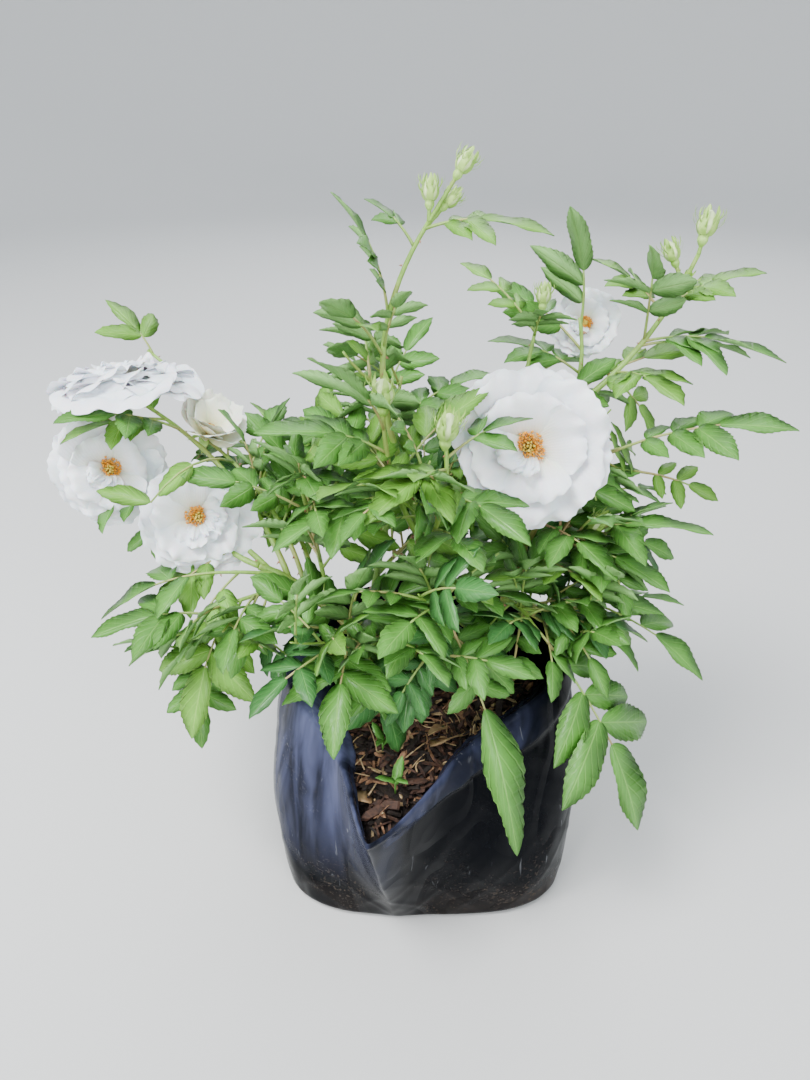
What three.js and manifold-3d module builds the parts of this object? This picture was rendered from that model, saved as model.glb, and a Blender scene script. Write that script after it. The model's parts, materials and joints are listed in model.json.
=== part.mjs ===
// A white-flowered rose bush in a black nursery grow bag.
// Millimetres, +Z up. The origin is the middle of the bag's flat underside, and the spout
// of the bag's rim points to the front, along -Y.
import * as THREE from "three";
import { mergeVertices } from "three/addons/utils/BufferGeometryUtils.js";
import Module from "manifold-3d";

const wasm = await Module();
wasm.setup();

// Grow bag
const BASE_HALF_WIDTH = 86;
const BASE_HALF_DEPTH = 60;
const BASE_SQUARENESS = 3.4;
const BOTTOM_ROUNDING = 3;
const RIM_HALF_WIDTH = 79;
const RIM_HALF_DEPTH = 62;
const RIM_SQUARENESS = 2;
const RIM_HEIGHT_FRONT = 122;
const RIM_HEIGHT_GAIN = 43;
const RIM_RISE_SPAN = 70;
const RIM_RISE_POWER = 1.2;
const SPOUT_ANGLE = -106;
const SPOUT_PULL = 46;
const SPOUT_WIDTH = 15;
const SPOUT_POWER = 1.3;
const FRONT_TUCK = 6;
const FRONT_TUCK_AT = 60;
const FRONT_TUCK_SPAN = 30;
const WALL_BULGE = 9;
const FLAT_SPAN = 35;
const FILM = 1.2;
const LIP_WIDTH = 12;
const LIP_NARROWING = 7;
const LIP_NARROW_SPAN = 20;
const LIP_FOLD_LEFT = 16;
const LIP_FOLD_AT = -75;
const LIP_FOLD_SPAN = 40;
const LIP_ROLL = 3;
const LIP_DROP = 4;
const BAG_SIDES = 32;
const WALL_STATIONS = [0.03, 0.25, 0.5, 0.75, 1];

// Growing medium
const MEDIUM_TOP = 125;
const MEDIUM_EDGE = 118;
const MEDIUM_FRONT_DROP = 12;
const MEDIUM_FRONT_SPAN = 30;
const MEDIUM_EDGE_GAP = 1.3;
const MEDIUM_FLAT_SHARE = 0.6;

// Clearances
const SEAT_GAP = 0.3;
const FILL_GAP = 0.4;
const LEAF_GAP = 0.4;
const MERGE_WITHIN = 0.02;

// Stock and canes: heading and rise in degrees, length, and how far the middle bows
// sideways and upwards, with the thickness at the foot and at the tip
const STOCK = { x: -34, y: 2, heading: -18, rise: 76, length: 27, foot: 14, tip: 10, flare: 6 };
const CANES = [
  cane("main_cane", "trunk", 0.9, 12, 75, 91, -9, -19, 7.4, 5.4),
  cane("upper_cane", "main_cane", 1, 166, 76, 32, 0, 0, 4.6, 3.8),
  cane("right_cane", "main_cane", 0.97, 27, 29, 94, -4, -4, 4.6, 3.4),
  cane("left_cane", "trunk", 0.8, 168, 43, 87, -6, 16, 5.8, 4.2),
  cane("low_right_cane", "trunk", 0.7, 16, 37, 102, -14, -49, 5.4, 3.8),
  cane("back_cane", "trunk", 0.75, 78, 53, 104, 15, -16, 5.4, 3.8),
];
const CANE_SIDES = 8;
const THREE_SIDES = 3;
const CANE_STEPS = 6;

// Leaves
const RACHIS_THICKNESS = 2.3;
const RACHIS_TAPER = 0.8;
const RACHIS_BOW = 0.09;
const RACHIS_STEPS = 2;
const LEAFLET_SLIM = 0.46;
const LEAFLET_WIDEST = 0.46;
const LEAFLET_RIB = 0.14;
const LEAFLET_SPREAD = 60;
const LEAFLET_FOLD = 0.28;
const LEAFLET_CURL = 0.12;
const LEAFLET_NOD = 0.1;
const LEAFLET_THICKNESS = 1.3;
const LEAFLET_STAGGER = 0.7;
const PAIR_PLACES = { 1: [0.78], 2: [0.44, 0.76], 3: [0.36, 0.6, 0.82] };
const PAIR_SIZES = [0.92, 0.78, 0.62];
const CROWN_CENTRE = new THREE.Vector3(-5, 15, 240);
const CROWN_REACH = new THREE.Vector3(205, 140, 182);

// Seeded leaves: where they sit on a stem, how they turn round it and how large they are
const FIRST_LEAF = 0.22;
const LAST_LEAF = 0.97;
const LEAF_SLACK = 0.4;
const GOLDEN_ANGLE = 137.5;
const TURN_BY_SHOOT = 60;
const TURN_SLACK = 30;
const LEAF_SPREAD = 58;
const LEAF_LIFT = 0.4;
const SMALLEST_REACH = 1.1;
const REACH_SLACK = 0.4;
const SMALLEST_LEAFLET = 0.8;
const LEAFLET_SLACK = 0.3;

// Shoots: each is one mass of the crown, named for its place
const SHOOTS = [
  {
    ...shoot("top_shoot", "upper_cane", 1, 67, 75, 115, 27, 14, 3.4, 1, 24),
    leafPlan: [
      leaf(0.62, -171, 76, 36, 26, 3, 0.42),
      leaf(0.97, -11, 12, 26, 34, 2, 0.32),
      leaf(0.5, -62, 60, 26, 18, 2),
      leaf(0.9, 160, 50, 16, 16, 1),
    ],
    buds: [bud(1, 18, 55, 24, 8), bud(0.97, 30, 40, 14, 7), bud(1, 80, 78, 8, 8)],
  },
  {
    ...shoot("right_shoot", "right_cane", 1, 20, 48, 105, 2, -21, 3.6, 1, 30),
    leafPlan: [
      leaf(0.55, -17, 10, 30, 42, 2, 0.34),
      leaf(0.35, -65, 14, 24, 30, 2),
      leaf(0.75, -8, 34, 23, 26, 2),
      leaf(0.2, 70, -20, 30, 28, 2),
      leaf(0.7, 150, 40, 26, 24, 2),
    ],
    buds: [bud(1, 45, 75, 8, 10), bud(0.86, 150, 62, 12, 8), bud(0.8, -90, 40, 9, 8)],
  },
  {
    ...shoot("back_right_shoot", "right_cane", 0.92, 65, 47, 64, -11, -28, 3.2, 2, 28),
    leafPlan: [leaf(0.95, -138, 84, 30, 38, 2, 0.34), leaf(0.6, 150, 20, 30, 28, 2)],
    sideBloom: { at: 0.62, heading: 78, rise: 30, reach: 32 },
    bloom: { heading: -105, rise: 30, radius: 19, cup: 0.45 },
  },
  {
    ...shoot("back_bud_shoot", "right_cane", 0.72, 76, 53, 80, 8, -10, 2.8, 2, 26),
    leafPlan: [leaf(0.8, -90, 45, 22, 22, 2)],
    buds: [bud(1, 80, 70, 0, 8)],
  },
  {
    ...shoot("right_bloom_shoot", "low_right_cane", 1, 56, 85, 65, -20, -8, 3.6, 2, 32),
    leafPlan: [leaf(0.35, -60, 10, 34, 30, 2), leaf(0.5, 20, 20, 34, 30, 2)],
    bloom: { heading: -99, rise: 25, radius: 39, cup: 0.3 },
  },
  {
    ...shoot("right_bud_shoot", "low_right_cane", 0.9, -11, 43, 55, 3, 7, 3, 1, 28),
    leafPlan: [leaf(0.85, -22, 26, 30, 40, 2, 0.36), leaf(0.65, -40, 8, 34, 32, 2)],
    buds: [bud(1, -20, 60, 0, 9)],
  },
  {
    ...shoot("right_leaf_shoot", "right_cane", 0.8, -14, -2, 40, -4, -4, 2.6, 0, 28),
    leafPlan: [leaf(0.95, -16, 24, 56, 36, 3, 0.42), leaf(0.6, -75, -30, 28, 28, 2)],
  },
  {
    ...shoot("mid_left_bud_shoot", "main_cane", 0.92, 180, 76, 75, 6, -9, 3.2, 1, 32),
    leafPlan: [
      leaf(0.85, -134, 62, 22, 44, 1, 0.36),
      leaf(0.7, -167, 28, 28, 38, 2, 0.4),
      leaf(0.4, -162, -7, 34, 36, 2),
    ],
    buds: [bud(1, -90, 88, 0, 11)],
  },
  {
    ...shoot("mid_right_bud_shoot", "main_cane", 0.84, -33, 79, 68, -3, -13, 3.2, 1, 32),
    leafPlan: [
      leaf(0.8, -130, 10, 22, 38, 2, 0.42),
      leaf(0.6, -47, 8, 24, 32, 2),
      leaf(0.88, 20, 30, 22, 26, 1),
    ],
    buds: [bud(1, 0, 84, 0, 11)],
  },
  {
    ...shoot("front_shoot", "main_cane", 0.55, -62, 23, 32, -2, 1, 2.8, 0, 32),
    leafPlan: [leaf(0.9, -63, -36, 56, 74, 2, 0.29), leaf(0.5, -104, -28, 40, 30, 2)],
  },
  {
    ...shoot("front_left_shoot", "left_cane", 0.25, -90, 33, 47, -2, 8, 2.8, 1, 32),
    leafPlan: [leaf(0.95, -96, -11, 27, 36, 2, 0.44), leaf(0.7, -48, -46, 40, 30, 2, 0.56)],
  },
  {
    ...shoot("front_right_shoot", "low_right_cane", 0.8, -69, 11, 36, -1, 9, 2.8, 1, 30),
    leafPlan: [leaf(0.9, -43, -42, 76, 54, 3, 0.4), leaf(0.6, -4, -4, 40, 34, 2, 0.5)],
  },
  {
    ...shoot("low_right_shoot", "low_right_cane", 0.6, 2, 20, 63, 5, 3, 3, 2, 30),
    leafPlan: [leaf(0.95, -27, -14, 42, 36, 2)],
  },
  {
    ...shoot("left_bloom_front", "left_cane", 1, 144, 18, 48, 5, -5, 3.4, 2, 30),
    leafPlan: [leaf(0.4, -150, -20, 30, 30, 2)],
    bloom: { heading: -74, rise: 29, radius: 32, cup: 0.45 },
  },
  {
    ...shoot("left_bloom_mid", "left_cane", 0.93, 152, 18, 115, -21, -6, 3.4, 2, 28),
    leafPlan: [leaf(0.6, 104, 6, 28, 28, 2)],
    bloom: { heading: -68, rise: 25, radius: 31, cup: 0.35 },
  },
  {
    ...shoot("left_bloom_back", "left_cane", 0.8, 145, 35.5, 141, -29, 4, 3.4, 2, 30),
    leafPlan: [leaf(0.82, -150, 10, 30, 30, 2)],
    bloom: { heading: 110, rise: 74, radius: 41, cup: 0.28 },
  },
  {
    ...shoot("left_cup_bloom", "left_cane", 0.68, 134, 35, 107, -14, 12, 3, 3, 28),
    leafPlan: [leaf(0.5, 20, 30, 34, 28, 2)],
    bloom: { heading: -24, rise: 58, radius: 18, cup: 0.9 },
  },
  {
    ...shoot("low_left_shoot", "left_cane", 0.72, -154, -2, 56, 3, 8, 2.8, 1, 30),
    leafPlan: [leaf(0.95, -166, 8, 26, 34, 2, 0.44), leaf(0.7, -112, -36, 36, 38, 2)],
  },
  {
    ...shoot("left_leaf_shoot", "left_cane", 0.5, 125, 68, 83, -5, -2, 3, 4, 34),
    leafPlan: [leaf(0.9, -72, 24, 28, 28, 2)],
  },
  {
    ...shoot("outer_left_shoot", "left_cane", 0.86, -167, 11, 38, 4, 5, 2.6, 0, 28),
    leafPlan: [leaf(0.9, -175, -10, 34, 38, 2), leaf(0.6, -130, -26, 28, 30, 2)],
  },
  {
    ...shoot("back_left_leaf_shoot", "left_cane", 0.56, 132, 30.5, 196, -42, -12, 3, 1, 30),
    leafPlan: [leaf(0.98, 150, 55, 16, 30, 1, 0.4), leaf(0.86, -141, 6, 24, 30, 1, 0.44)],
  },
  shoot("back_left_shoot", "back_cane", 0.75, 144, 19, 71, -7, 0, 3, 4, 34),
  shoot("back_top_shoot", "back_cane", 1, 84, 69, 63, 6, -12, 3, 5, 34),
  shoot("back_right_low_shoot", "back_cane", 0.85, 31, 17, 84, 6, -8, 3, 5, 34),
  shoot("back_low_shoot", "back_cane", 0.5, 54, 5, 66, 3, 3, 3, 4, 34),
];
const SHOOT_SIDES = 5;
const SHOOT_STEPS = 4;
const SHOOT_TAPER = 0.6;
const STALK_TAPER = 0.8;

// Blooms and buds. Profiles are rows of radius and height: the hip's in millimetres, the
// stamens' as shares of the bloom's radius, the bud's as shares of its own width.
const PETAL_THICKNESS = 1.2;
const RIM_LOBES = 5;
const RIM_LOBE_DEPTH = 0.07;
const RIM_WAVE = 0.06;
const DISH_FLOOR = 0.55;
const INNER_SHARE = 0.6;
const INNER_LIFT = 1;
const INNER_CUP = 0.5;
const INNER_PHASE = 2;
const HEART_HEIGHT = 4.5;
const BLOOM_SIDES = 15;
const BUD_SIDES = 6;
const HIP_PROFILE = [
  [0, -4.5],
  [2.4, -3.1],
  [4, 0],
  [3.2, 4.5],
  [0, 5.6],
];
const STAMEN_PROFILE = [
  [0, -0.03],
  [0.14, 0],
  [0.2, 0.16],
  [0.12, 0.24],
  [0, 0.26],
];
const BUD_PROFILE = [
  [0, -0.45],
  [0.34, -0.2],
  [0.3, 0.2],
  [0.5, 0.6],
  [0.36, 1.1],
  [0, 1.6],
];

// Colours
const LEAF_GREEN = 0x4f8f3a;
const CANE_GREEN = 0x7a9a4e;
const BARK_BROWN = 0x7d6a4a;
const FILM_BLACK = 0x15161a;
const CHIP_BROWN = 0x5f3d2a;

// Rows of the tables above

function cane(name, on, at, heading, rise, length, side, lift, foot, tip) {
  return { name, on, at, heading, rise, length, side, lift, foot, tip };
}

function shoot(name, on, at, heading, rise, length, side, lift, foot, leaves, leaflet) {
  return { name, on, at, heading, rise, length, side, lift, foot, leaves, leaflet };
}

function leaf(at, heading, rise, reach, leaflet, pairs, slim = LEAFLET_SLIM) {
  return { at, heading, rise, reach, leaflet, pairs, slim };
}

function bud(at, heading, rise, reach, width) {
  return { at, heading, rise, reach, width };
}

// Seeded numbers

function seededDraws(seed) {
  let state = seed;
  const next = () => {
    state = (state * 16807) % 2147483647;
    return (state - 1) / 2147483646;
  };
  next();
  next();
  return next;
}

// Solids

function solidOf(points, faces) {
  const vertProperties = new Float32Array(points.flatMap((p) => [p.x, p.y, p.z]));
  const build = (triangles) =>
    new wasm.Manifold(
      new wasm.Mesh({ numProp: 3, vertProperties, triVerts: new Uint32Array(triangles.flat()) }),
    );
  const solid = build(faces);
  return solid.volume() < 0 ? build(faces.map(([a, b, c]) => [a, c, b])) : solid;
}

// One closed skin over a row of rings, with a point that closes it at each end. Each
// four-sided patch is split along its shorter diagonal.
function loft(rings, startPoint, endPoint) {
  const count = rings[0].length;
  const points = [...rings.flat(), startPoint, endPoint];
  const start = rings.length * count;
  const last = start - count;
  const faces = [];
  for (let side = 0; side < count; side++) {
    const next = (side + 1) % count;
    faces.push([start, next, side], [start + 1, last + side, last + next]);
    for (let low = 0; low < last; low += count) {
      const [a, b, c, d] = [low + side, low + next, low + count + next, low + count + side];
      const split = points[a].distanceTo(points[c]) < points[b].distanceTo(points[d]);
      faces.push(...(split ? [[a, b, c], [a, c, d]] : [[a, b, d], [b, c, d]]));
    }
  }
  return solidOf(points, faces);
}

// A turned piece with its axis along a direction, from a profile of radius and height
function turned(profile, foot, direction, sides) {
  const points = profile.map(([radius, height]) => new THREE.Vector2(radius, height));
  const lathe = new THREE.LatheGeometry(points, sides).rotateX(Math.PI / 2);
  lathe.deleteAttribute("normal");
  lathe.deleteAttribute("uv");
  lathe.applyQuaternion(
    new THREE.Quaternion().setFromUnitVectors(new THREE.Vector3(0, 0, 1), direction),
  );
  lathe.translate(foot.x, foot.y, foot.z);
  const merged = mergeVertices(lathe, 1e-3);
  const place = merged.getAttribute("position");
  const vertices = [];
  for (let i = 0; i < place.count; i++) {
    vertices.push(new THREE.Vector3().fromBufferAttribute(place, i));
  }
  const faces = [];
  for (let i = 0; i < merged.index.count; i += 3) {
    const face = [0, 1, 2].map((corner) => merged.index.getX(i + corner));
    if (new Set(face).size === 3) faces.push(face);
  }
  return solidOf(vertices, faces);
}

function union(solids) {
  return wasm.Manifold.union(solids);
}

// The largest body of a solid, with loose scraps dropped and needless small faces merged
function wholeBody(solid) {
  const bodies = solid.asOriginal().simplify(MERGE_WITHIN).decompose();
  return bodies.reduce((best, body) => (body.volume() > best.volume() ? body : best));
}

function touches(solid, others, gap) {
  const box = solid.boundingBox();
  const near = (other) =>
    [0, 1, 2].every((k) => box.min[k] - gap < other.max[k] && box.max[k] + gap > other.min[k]);
  return others.some(
    (other) => near(other.box) && solid.minGap(other.solid, gap * 2) < gap,
  );
}

function obstacle(solid) {
  return { solid, box: solid.boundingBox() };
}

// Limbs

function axes(heading, rise) {
  const h = THREE.MathUtils.degToRad(heading);
  const r = THREE.MathUtils.degToRad(rise);
  const along = new THREE.Vector3(Math.cos(r) * Math.cos(h), Math.cos(r) * Math.sin(h), Math.sin(r));
  const side = new THREE.Vector3(-Math.sin(h), Math.cos(h), 0);
  return { along, side, up: along.clone().cross(side) };
}

function headingOf(v) {
  return THREE.MathUtils.radToDeg(Math.atan2(v.y, v.x));
}

function riseOf(v) {
  return THREE.MathUtils.radToDeg(Math.asin(v.z / v.length()));
}

// A limb's centre line: one arc that bows sideways and upwards from its chord
function limbCurve(foot, { heading, rise, length, side, lift }) {
  const frame = axes(heading, rise);
  const tip = foot.clone().addScaledVector(frame.along, length);
  const bend = foot.clone().add(tip).multiplyScalar(0.5);
  bend.addScaledVector(frame.side, side).addScaledVector(frame.up, lift);
  return new THREE.QuadraticBezierCurve3(foot, bend, tip);
}

// A tapering limb along a curve, with flat ends and one edge of its section on top
function limbSolid(curve, heading, radiusAt, sides, steps) {
  const { side } = axes(heading, 0);
  const rings = [];
  for (let step = 0; step <= steps; step++) {
    const share = step / steps;
    const centre = curve.getPoint(share);
    const tangent = curve.getTangent(share);
    const across = side.clone().addScaledVector(tangent, -side.dot(tangent)).normalize();
    const up = tangent.clone().cross(across);
    const radius = radiusAt(share);
    const ring = [];
    for (let corner = 0; corner < sides; corner++) {
      const angle = Math.PI / 2 + (corner / sides) * 2 * Math.PI;
      ring.push(
        centre
          .clone()
          .addScaledVector(across, radius * Math.cos(angle))
          .addScaledVector(up, radius * Math.sin(angle)),
      );
    }
    rings.push(ring);
  }
  return loft(rings, curve.getPoint(0), curve.getPoint(1));
}

function taper(footThickness, tipThickness, extra = 0) {
  return (share) => (footThickness + (tipThickness - footThickness) * share) / 2 + extra;
}

// The woody stock, flared at its foot and cut flat just over the growing medium
function stockSolid(curve, extra = 0) {
  const flare = (share) => STOCK.flare * Math.pow(1 - share, 4);
  const radius = (share) => taper(STOCK.foot, STOCK.tip, extra)(share) + flare(share) / 2;
  const standing = limbSolid(curve, STOCK.heading, radius, CANE_SIDES + 2, CANE_STEPS);
  return extra ? standing : standing.trimByPlane([0, 0, 1], MEDIUM_TOP + SEAT_GAP);
}

// Leaves

// A leaflet of eight faces: base, tip and two raised edges round a sunk midrib
function leafletSolid({ base, along, up, length, width }) {
  const side = up.clone().cross(along);
  const place = (x, y, z) =>
    base
      .clone()
      .addScaledVector(along, x * length)
      .addScaledVector(side, (y * width) / 2)
      .addScaledVector(up, z - LEAFLET_CURL * length * x * x);
  const raised = (LEAFLET_FOLD * width) / 2;
  const rim = [
    place(0, 0, 0),
    place(LEAFLET_WIDEST, 1, raised),
    place(1, 0, 0),
    place(LEAFLET_WIDEST, -1, raised),
  ];
  const half = LEAFLET_THICKNESS / 2;
  const ribs = [place(LEAFLET_RIB, 0, half), place(LEAFLET_RIB, 0, -half)];
  const faces = [0, 1, 2, 3].flatMap((i) => [
    [4, (i + 1) % 4, i],
    [5, i, (i + 1) % 4],
  ]);
  return solidOf([...rim, ...ribs], faces);
}

// Where one leaf's rachis runs, and where its leaflets lie on it
function leafLayout(origin, plan) {
  const { heading, rise, reach, leaflet, pairs, slim } = plan;
  const curve = limbCurve(origin, { heading, rise, length: reach, side: 0, lift: reach * RACHIS_BOW });
  const { side } = axes(heading, rise);
  const spread = THREE.MathUtils.degToRad(LEAFLET_SPREAD);
  const leaflets = [];
  const stagger = LEAFLET_STAGGER / reach;
  const add = (at, turn, length) => {
    const tangent = curve.getTangent(at);
    const up = tangent.clone().cross(side);
    const along = tangent.clone().multiplyScalar(Math.cos(turn)).addScaledVector(side, Math.sin(turn));
    along.addScaledVector(up, -LEAFLET_NOD).normalize();
    up.addScaledVector(along, -up.dot(along)).normalize();
    const base = curve.getPoint(at);
    leaflets.push({ base, along, up, length, width: length * slim });
  };
  add(1 - stagger, 0, leaflet);
  PAIR_PLACES[pairs].forEach((at, i) => {
    const length = leaflet * PAIR_SIZES[pairs - 1 - i];
    add(at + stagger, spread, length);
    add(at - stagger, -spread, length);
  });
  return { curve, leaflets };
}

// The seeded leaves of a shoot: each a golden angle on from the last, leaning off the stem
function seededLeaf(curve, shootNumber, index, row) {
  const draw = seededDraws(shootNumber * 97 + index * 13 + 5);
  const place = index + 0.5 + LEAF_SLACK * (draw() - 0.5);
  const at = FIRST_LEAF + ((LAST_LEAF - FIRST_LEAF) * place) / row.leaves;
  const stem = curve.getTangent(at);
  const across = new THREE.Vector3(0, 0, 1).cross(stem).normalize();
  const turn = index * GOLDEN_ANGLE + TURN_BY_SHOOT * shootNumber + TURN_SLACK * (draw() - 0.5);
  across.applyAxisAngle(stem, THREE.MathUtils.degToRad(turn));
  const lean = THREE.MathUtils.degToRad(LEAF_SPREAD);
  const along = stem.multiplyScalar(Math.cos(lean)).addScaledVector(across, Math.sin(lean));
  along.z += LEAF_LIFT * draw();
  along.normalize();
  return {
    at,
    heading: headingOf(along),
    rise: riseOf(along),
    reach: row.leaflet * (SMALLEST_REACH + REACH_SLACK * draw()),
    leaflet: row.leaflet * (SMALLEST_LEAFLET + LEAFLET_SLACK * draw()),
    pairs: 2,
    slim: LEAFLET_SLIM,
  };
}

// Blooms and buds

function scaled(profile, size) {
  return profile.map(([radius, height]) => [radius * size, height * size]);
}

function budSolid(foot, direction, width) {
  return turned(scaled(BUD_PROFILE, width), foot, direction, BUD_SIDES);
}

// A wavy dish of petals round an axis, closed by its own thickness
function petalDish(centre, frame, radius, depth, phase) {
  const ring = (share, rim, drop) => {
    const points = [];
    for (let i = 0; i < BLOOM_SIDES; i++) {
      const angle = (i / BLOOM_SIDES) * 2 * Math.PI;
      const lobe = Math.cos(RIM_LOBES * angle + phase);
      const r = radius * share * (1 + rim * RIM_LOBE_DEPTH * lobe);
      const height = depth * share * share + rim * RIM_WAVE * radius * lobe - drop;
      points.push(
        centre
          .clone()
          .addScaledVector(frame.side, r * Math.cos(angle))
          .addScaledVector(frame.up, r * Math.sin(angle))
          .addScaledVector(frame.along, height),
      );
    }
    return points;
  };
  const rings = [
    ring(DISH_FLOOR, 0, 0),
    ring(1, 1, 0),
    ring(1, 1, PETAL_THICKNESS),
    ring(DISH_FLOOR, 0, PETAL_THICKNESS),
  ];
  const back = centre.clone().addScaledVector(frame.along, -PETAL_THICKNESS);
  return loft(rings, centre, back);
}

function bloomSolids(foot, { heading, rise, radius, cup }) {
  const frame = axes(heading, rise);
  const heart = foot.clone().addScaledVector(frame.along, HEART_HEIGHT);
  const raised = heart.clone().addScaledVector(frame.along, INNER_LIFT);
  const inner = radius * INNER_SHARE;
  return [
    turned(HIP_PROFILE, foot, frame.along, BUD_SIDES),
    petalDish(heart, frame, radius, radius * cup, 0),
    petalDish(raised, frame, inner, inner * (cup + INNER_CUP), INNER_PHASE),
    turned(scaled(STAMEN_PROFILE, radius), heart, frame.along, BUD_SIDES),
  ];
}

// Grow bag and growing medium

// The angle from the spout, in degrees either way
function fromSpout(angle) {
  return ((((angle - SPOUT_ANGLE + 180) % 360) + 360) % 360) - 180;
}

function ovalRadius(angle, halfWidth, halfDepth, squareness) {
  const a = THREE.MathUtils.degToRad(angle);
  const x = Math.pow(Math.abs(Math.cos(a)) / halfWidth, squareness);
  const y = Math.pow(Math.abs(Math.sin(a)) / halfDepth, squareness);
  return Math.pow(x + y, -1 / squareness);
}

function bell(distance, width) {
  return Math.exp(-Math.pow(distance / width, 2));
}

function rimRadius(angle) {
  const off = fromSpout(angle);
  const oval = ovalRadius(angle, RIM_HALF_WIDTH, RIM_HALF_DEPTH, RIM_SQUARENESS);
  const pull = SPOUT_PULL * Math.exp(-Math.pow(Math.abs(off) / SPOUT_WIDTH, SPOUT_POWER));
  return oval + pull - FRONT_TUCK * bell(off - FRONT_TUCK_AT, FRONT_TUCK_SPAN);
}

function rimHeight(angle) {
  const share = Math.pow(Math.abs(fromSpout(angle)) / RIM_RISE_SPAN, RIM_RISE_POWER);
  return RIM_HEIGHT_FRONT + RIM_HEIGHT_GAIN * (1 - Math.exp(-share));
}

function lipWidth(angle) {
  const off = fromSpout(angle);
  const plain = LIP_WIDTH - LIP_NARROWING * bell(off, LIP_NARROW_SPAN);
  return plain + LIP_FOLD_LEFT * bell(off - LIP_FOLD_AT, LIP_FOLD_SPAN);
}

// A point of the bag's outer wall, at a share of the way from the base to the rim
function wallPoint(angle, share) {
  const base = ovalRadius(angle, BASE_HALF_WIDTH, BASE_HALF_DEPTH, BASE_SQUARENESS);
  const round = 1 - bell(fromSpout(angle), FLAT_SPAN);
  const radius = base + (rimRadius(angle) - base) * share;
  const bulge = WALL_BULGE * Math.sin(Math.PI * share) * round;
  return polarPoint(angle, radius + bulge, rimHeight(angle) * share);
}

function polarPoint(angle, radius, height) {
  const a = THREE.MathUtils.degToRad(angle);
  return new THREE.Vector3(radius * Math.cos(a), radius * Math.sin(a), height);
}

// A ring of points, moved in along the ring's own normal
function inset(ring, distance) {
  const count = ring.length;
  return ring.map((point, i) => {
    const run = ring[(i + 1) % count].clone().sub(ring[(i + count - 1) % count]);
    const inward = new THREE.Vector3(-run.y, run.x, 0).normalize();
    return point.clone().addScaledVector(inward, distance);
  });
}

function ringOf(pointAt) {
  const ring = [];
  for (let i = 0; i < BAG_SIDES; i++) {
    ring.push(pointAt(SPOUT_ANGLE + (i / BAG_SIDES) * 360));
  }
  return ring;
}

function atHeight(ring, height) {
  return ring.map((point) => new THREE.Vector3(point.x, point.y, height));
}

function lower(ring, distance) {
  return ring.map((point) => new THREE.Vector3(point.x, point.y, point.z - distance));
}

function lipRing(share, rise) {
  return ringOf((angle) =>
    polarPoint(angle, rimRadius(angle) - lipWidth(angle) * share, rimHeight(angle) + rise),
  );
}

function growBag() {
  const wall = WALL_STATIONS.map((share) => ringOf((angle) => wallPoint(angle, share)));
  const bottom = atHeight(inset(wall[0], BOTTOM_ROUNDING), 0);
  const inside = wall.map((ring) => inset(ring, FILM));
  const rimInside = lower(inside.pop(), FILM);
  const rings = [
    bottom,
    ...wall,
    lipRing(0.5, LIP_ROLL),
    lipRing(1, -LIP_DROP),
    lipRing(1, -LIP_DROP - FILM),
    lipRing(0.5, LIP_ROLL - FILM * 1.2),
    rimInside,
    ...inside.reverse(),
    atHeight(inset(bottom, FILM), FILM),
  ];
  return loft(rings, new THREE.Vector3(0, 0, 0), new THREE.Vector3(0, 0, FILM));
}

// A point of the faceted wall between its stations
function facetedWallPoint(angle, share) {
  const high = WALL_STATIONS.findIndex((station) => station >= share);
  const from = WALL_STATIONS[Math.max(high - 1, 0)];
  const to = WALL_STATIONS[high];
  const part = to === from ? 0 : (share - from) / (to - from);
  return wallPoint(angle, from).lerp(wallPoint(angle, to), part);
}

function mediumEdgeHeight(angle) {
  return MEDIUM_EDGE - MEDIUM_FRONT_DROP * bell(fromSpout(angle), MEDIUM_FRONT_SPAN);
}

// The chips fill the bag to below its rim, level round the stock and lower at the edge.
// The rings run down, as the bag's inner wall does, so that both have the same facets.
function growingMedium() {
  const clear = FILM + FILL_GAP;
  const edgeShare = (angle) => mediumEdgeHeight(angle) / rimHeight(angle);
  const sides = WALL_STATIONS.slice(0, -1).map((station) =>
    inset(
      ringOf((angle) => facetedWallPoint(angle, Math.min(station, edgeShare(angle) - 0.02))),
      clear,
    ),
  );
  const edge = inset(
    ringOf((angle) => facetedWallPoint(angle, edgeShare(angle))),
    clear + MEDIUM_EDGE_GAP,
  );
  const level = edge.map(
    (point) =>
      new THREE.Vector3(point.x * MEDIUM_FLAT_SHARE, point.y * MEDIUM_FLAT_SHARE, MEDIUM_TOP),
  );
  const bottom = atHeight(inset(sides[0], BOTTOM_ROUNDING), clear);
  const rings = [level, edge, ...sides.reverse(), bottom];
  return loft(rings, new THREE.Vector3(0, 0, MEDIUM_TOP), new THREE.Vector3(0, 0, clear));
}

// Assembly

function limbRow(row, curves) {
  return limbCurve(curves.get(row.on).getPoint(row.at), row);
}

function cutBy(solid, limbs) {
  return wholeBody(limbs.reduce((rest, limb) => rest.subtract(limb), solid));
}

// Every limb in order, each cut back where it leaves an earlier one
function buildLimbs() {
  const curves = new Map();
  const solids = new Map();
  const cutters = [];
  const foot = new THREE.Vector3(STOCK.x, STOCK.y, MEDIUM_TOP - 1);
  curves.set("trunk", limbCurve(foot, { ...STOCK, side: 0, lift: 0 }));
  solids.set("trunk", stockSolid(curves.get("trunk")));
  cutters.push(stockSolid(curves.get("trunk"), SEAT_GAP));
  for (const row of CANES) {
    const curve = limbRow(row, curves);
    curves.set(row.name, curve);
    const plain = limbSolid(curve, row.heading, taper(row.foot, row.tip), CANE_SIDES, CANE_STEPS);
    const grown = limbSolid(
      curve,
      row.heading,
      taper(row.foot, row.tip, SEAT_GAP / Math.cos(Math.PI / CANE_SIDES)),
      CANE_SIDES,
      CANE_STEPS,
    );
    solids.set(row.name, cutBy(plain, cutters));
    cutters.push(grown);
  }
  return { curves, solids, cutters };
}

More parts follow.
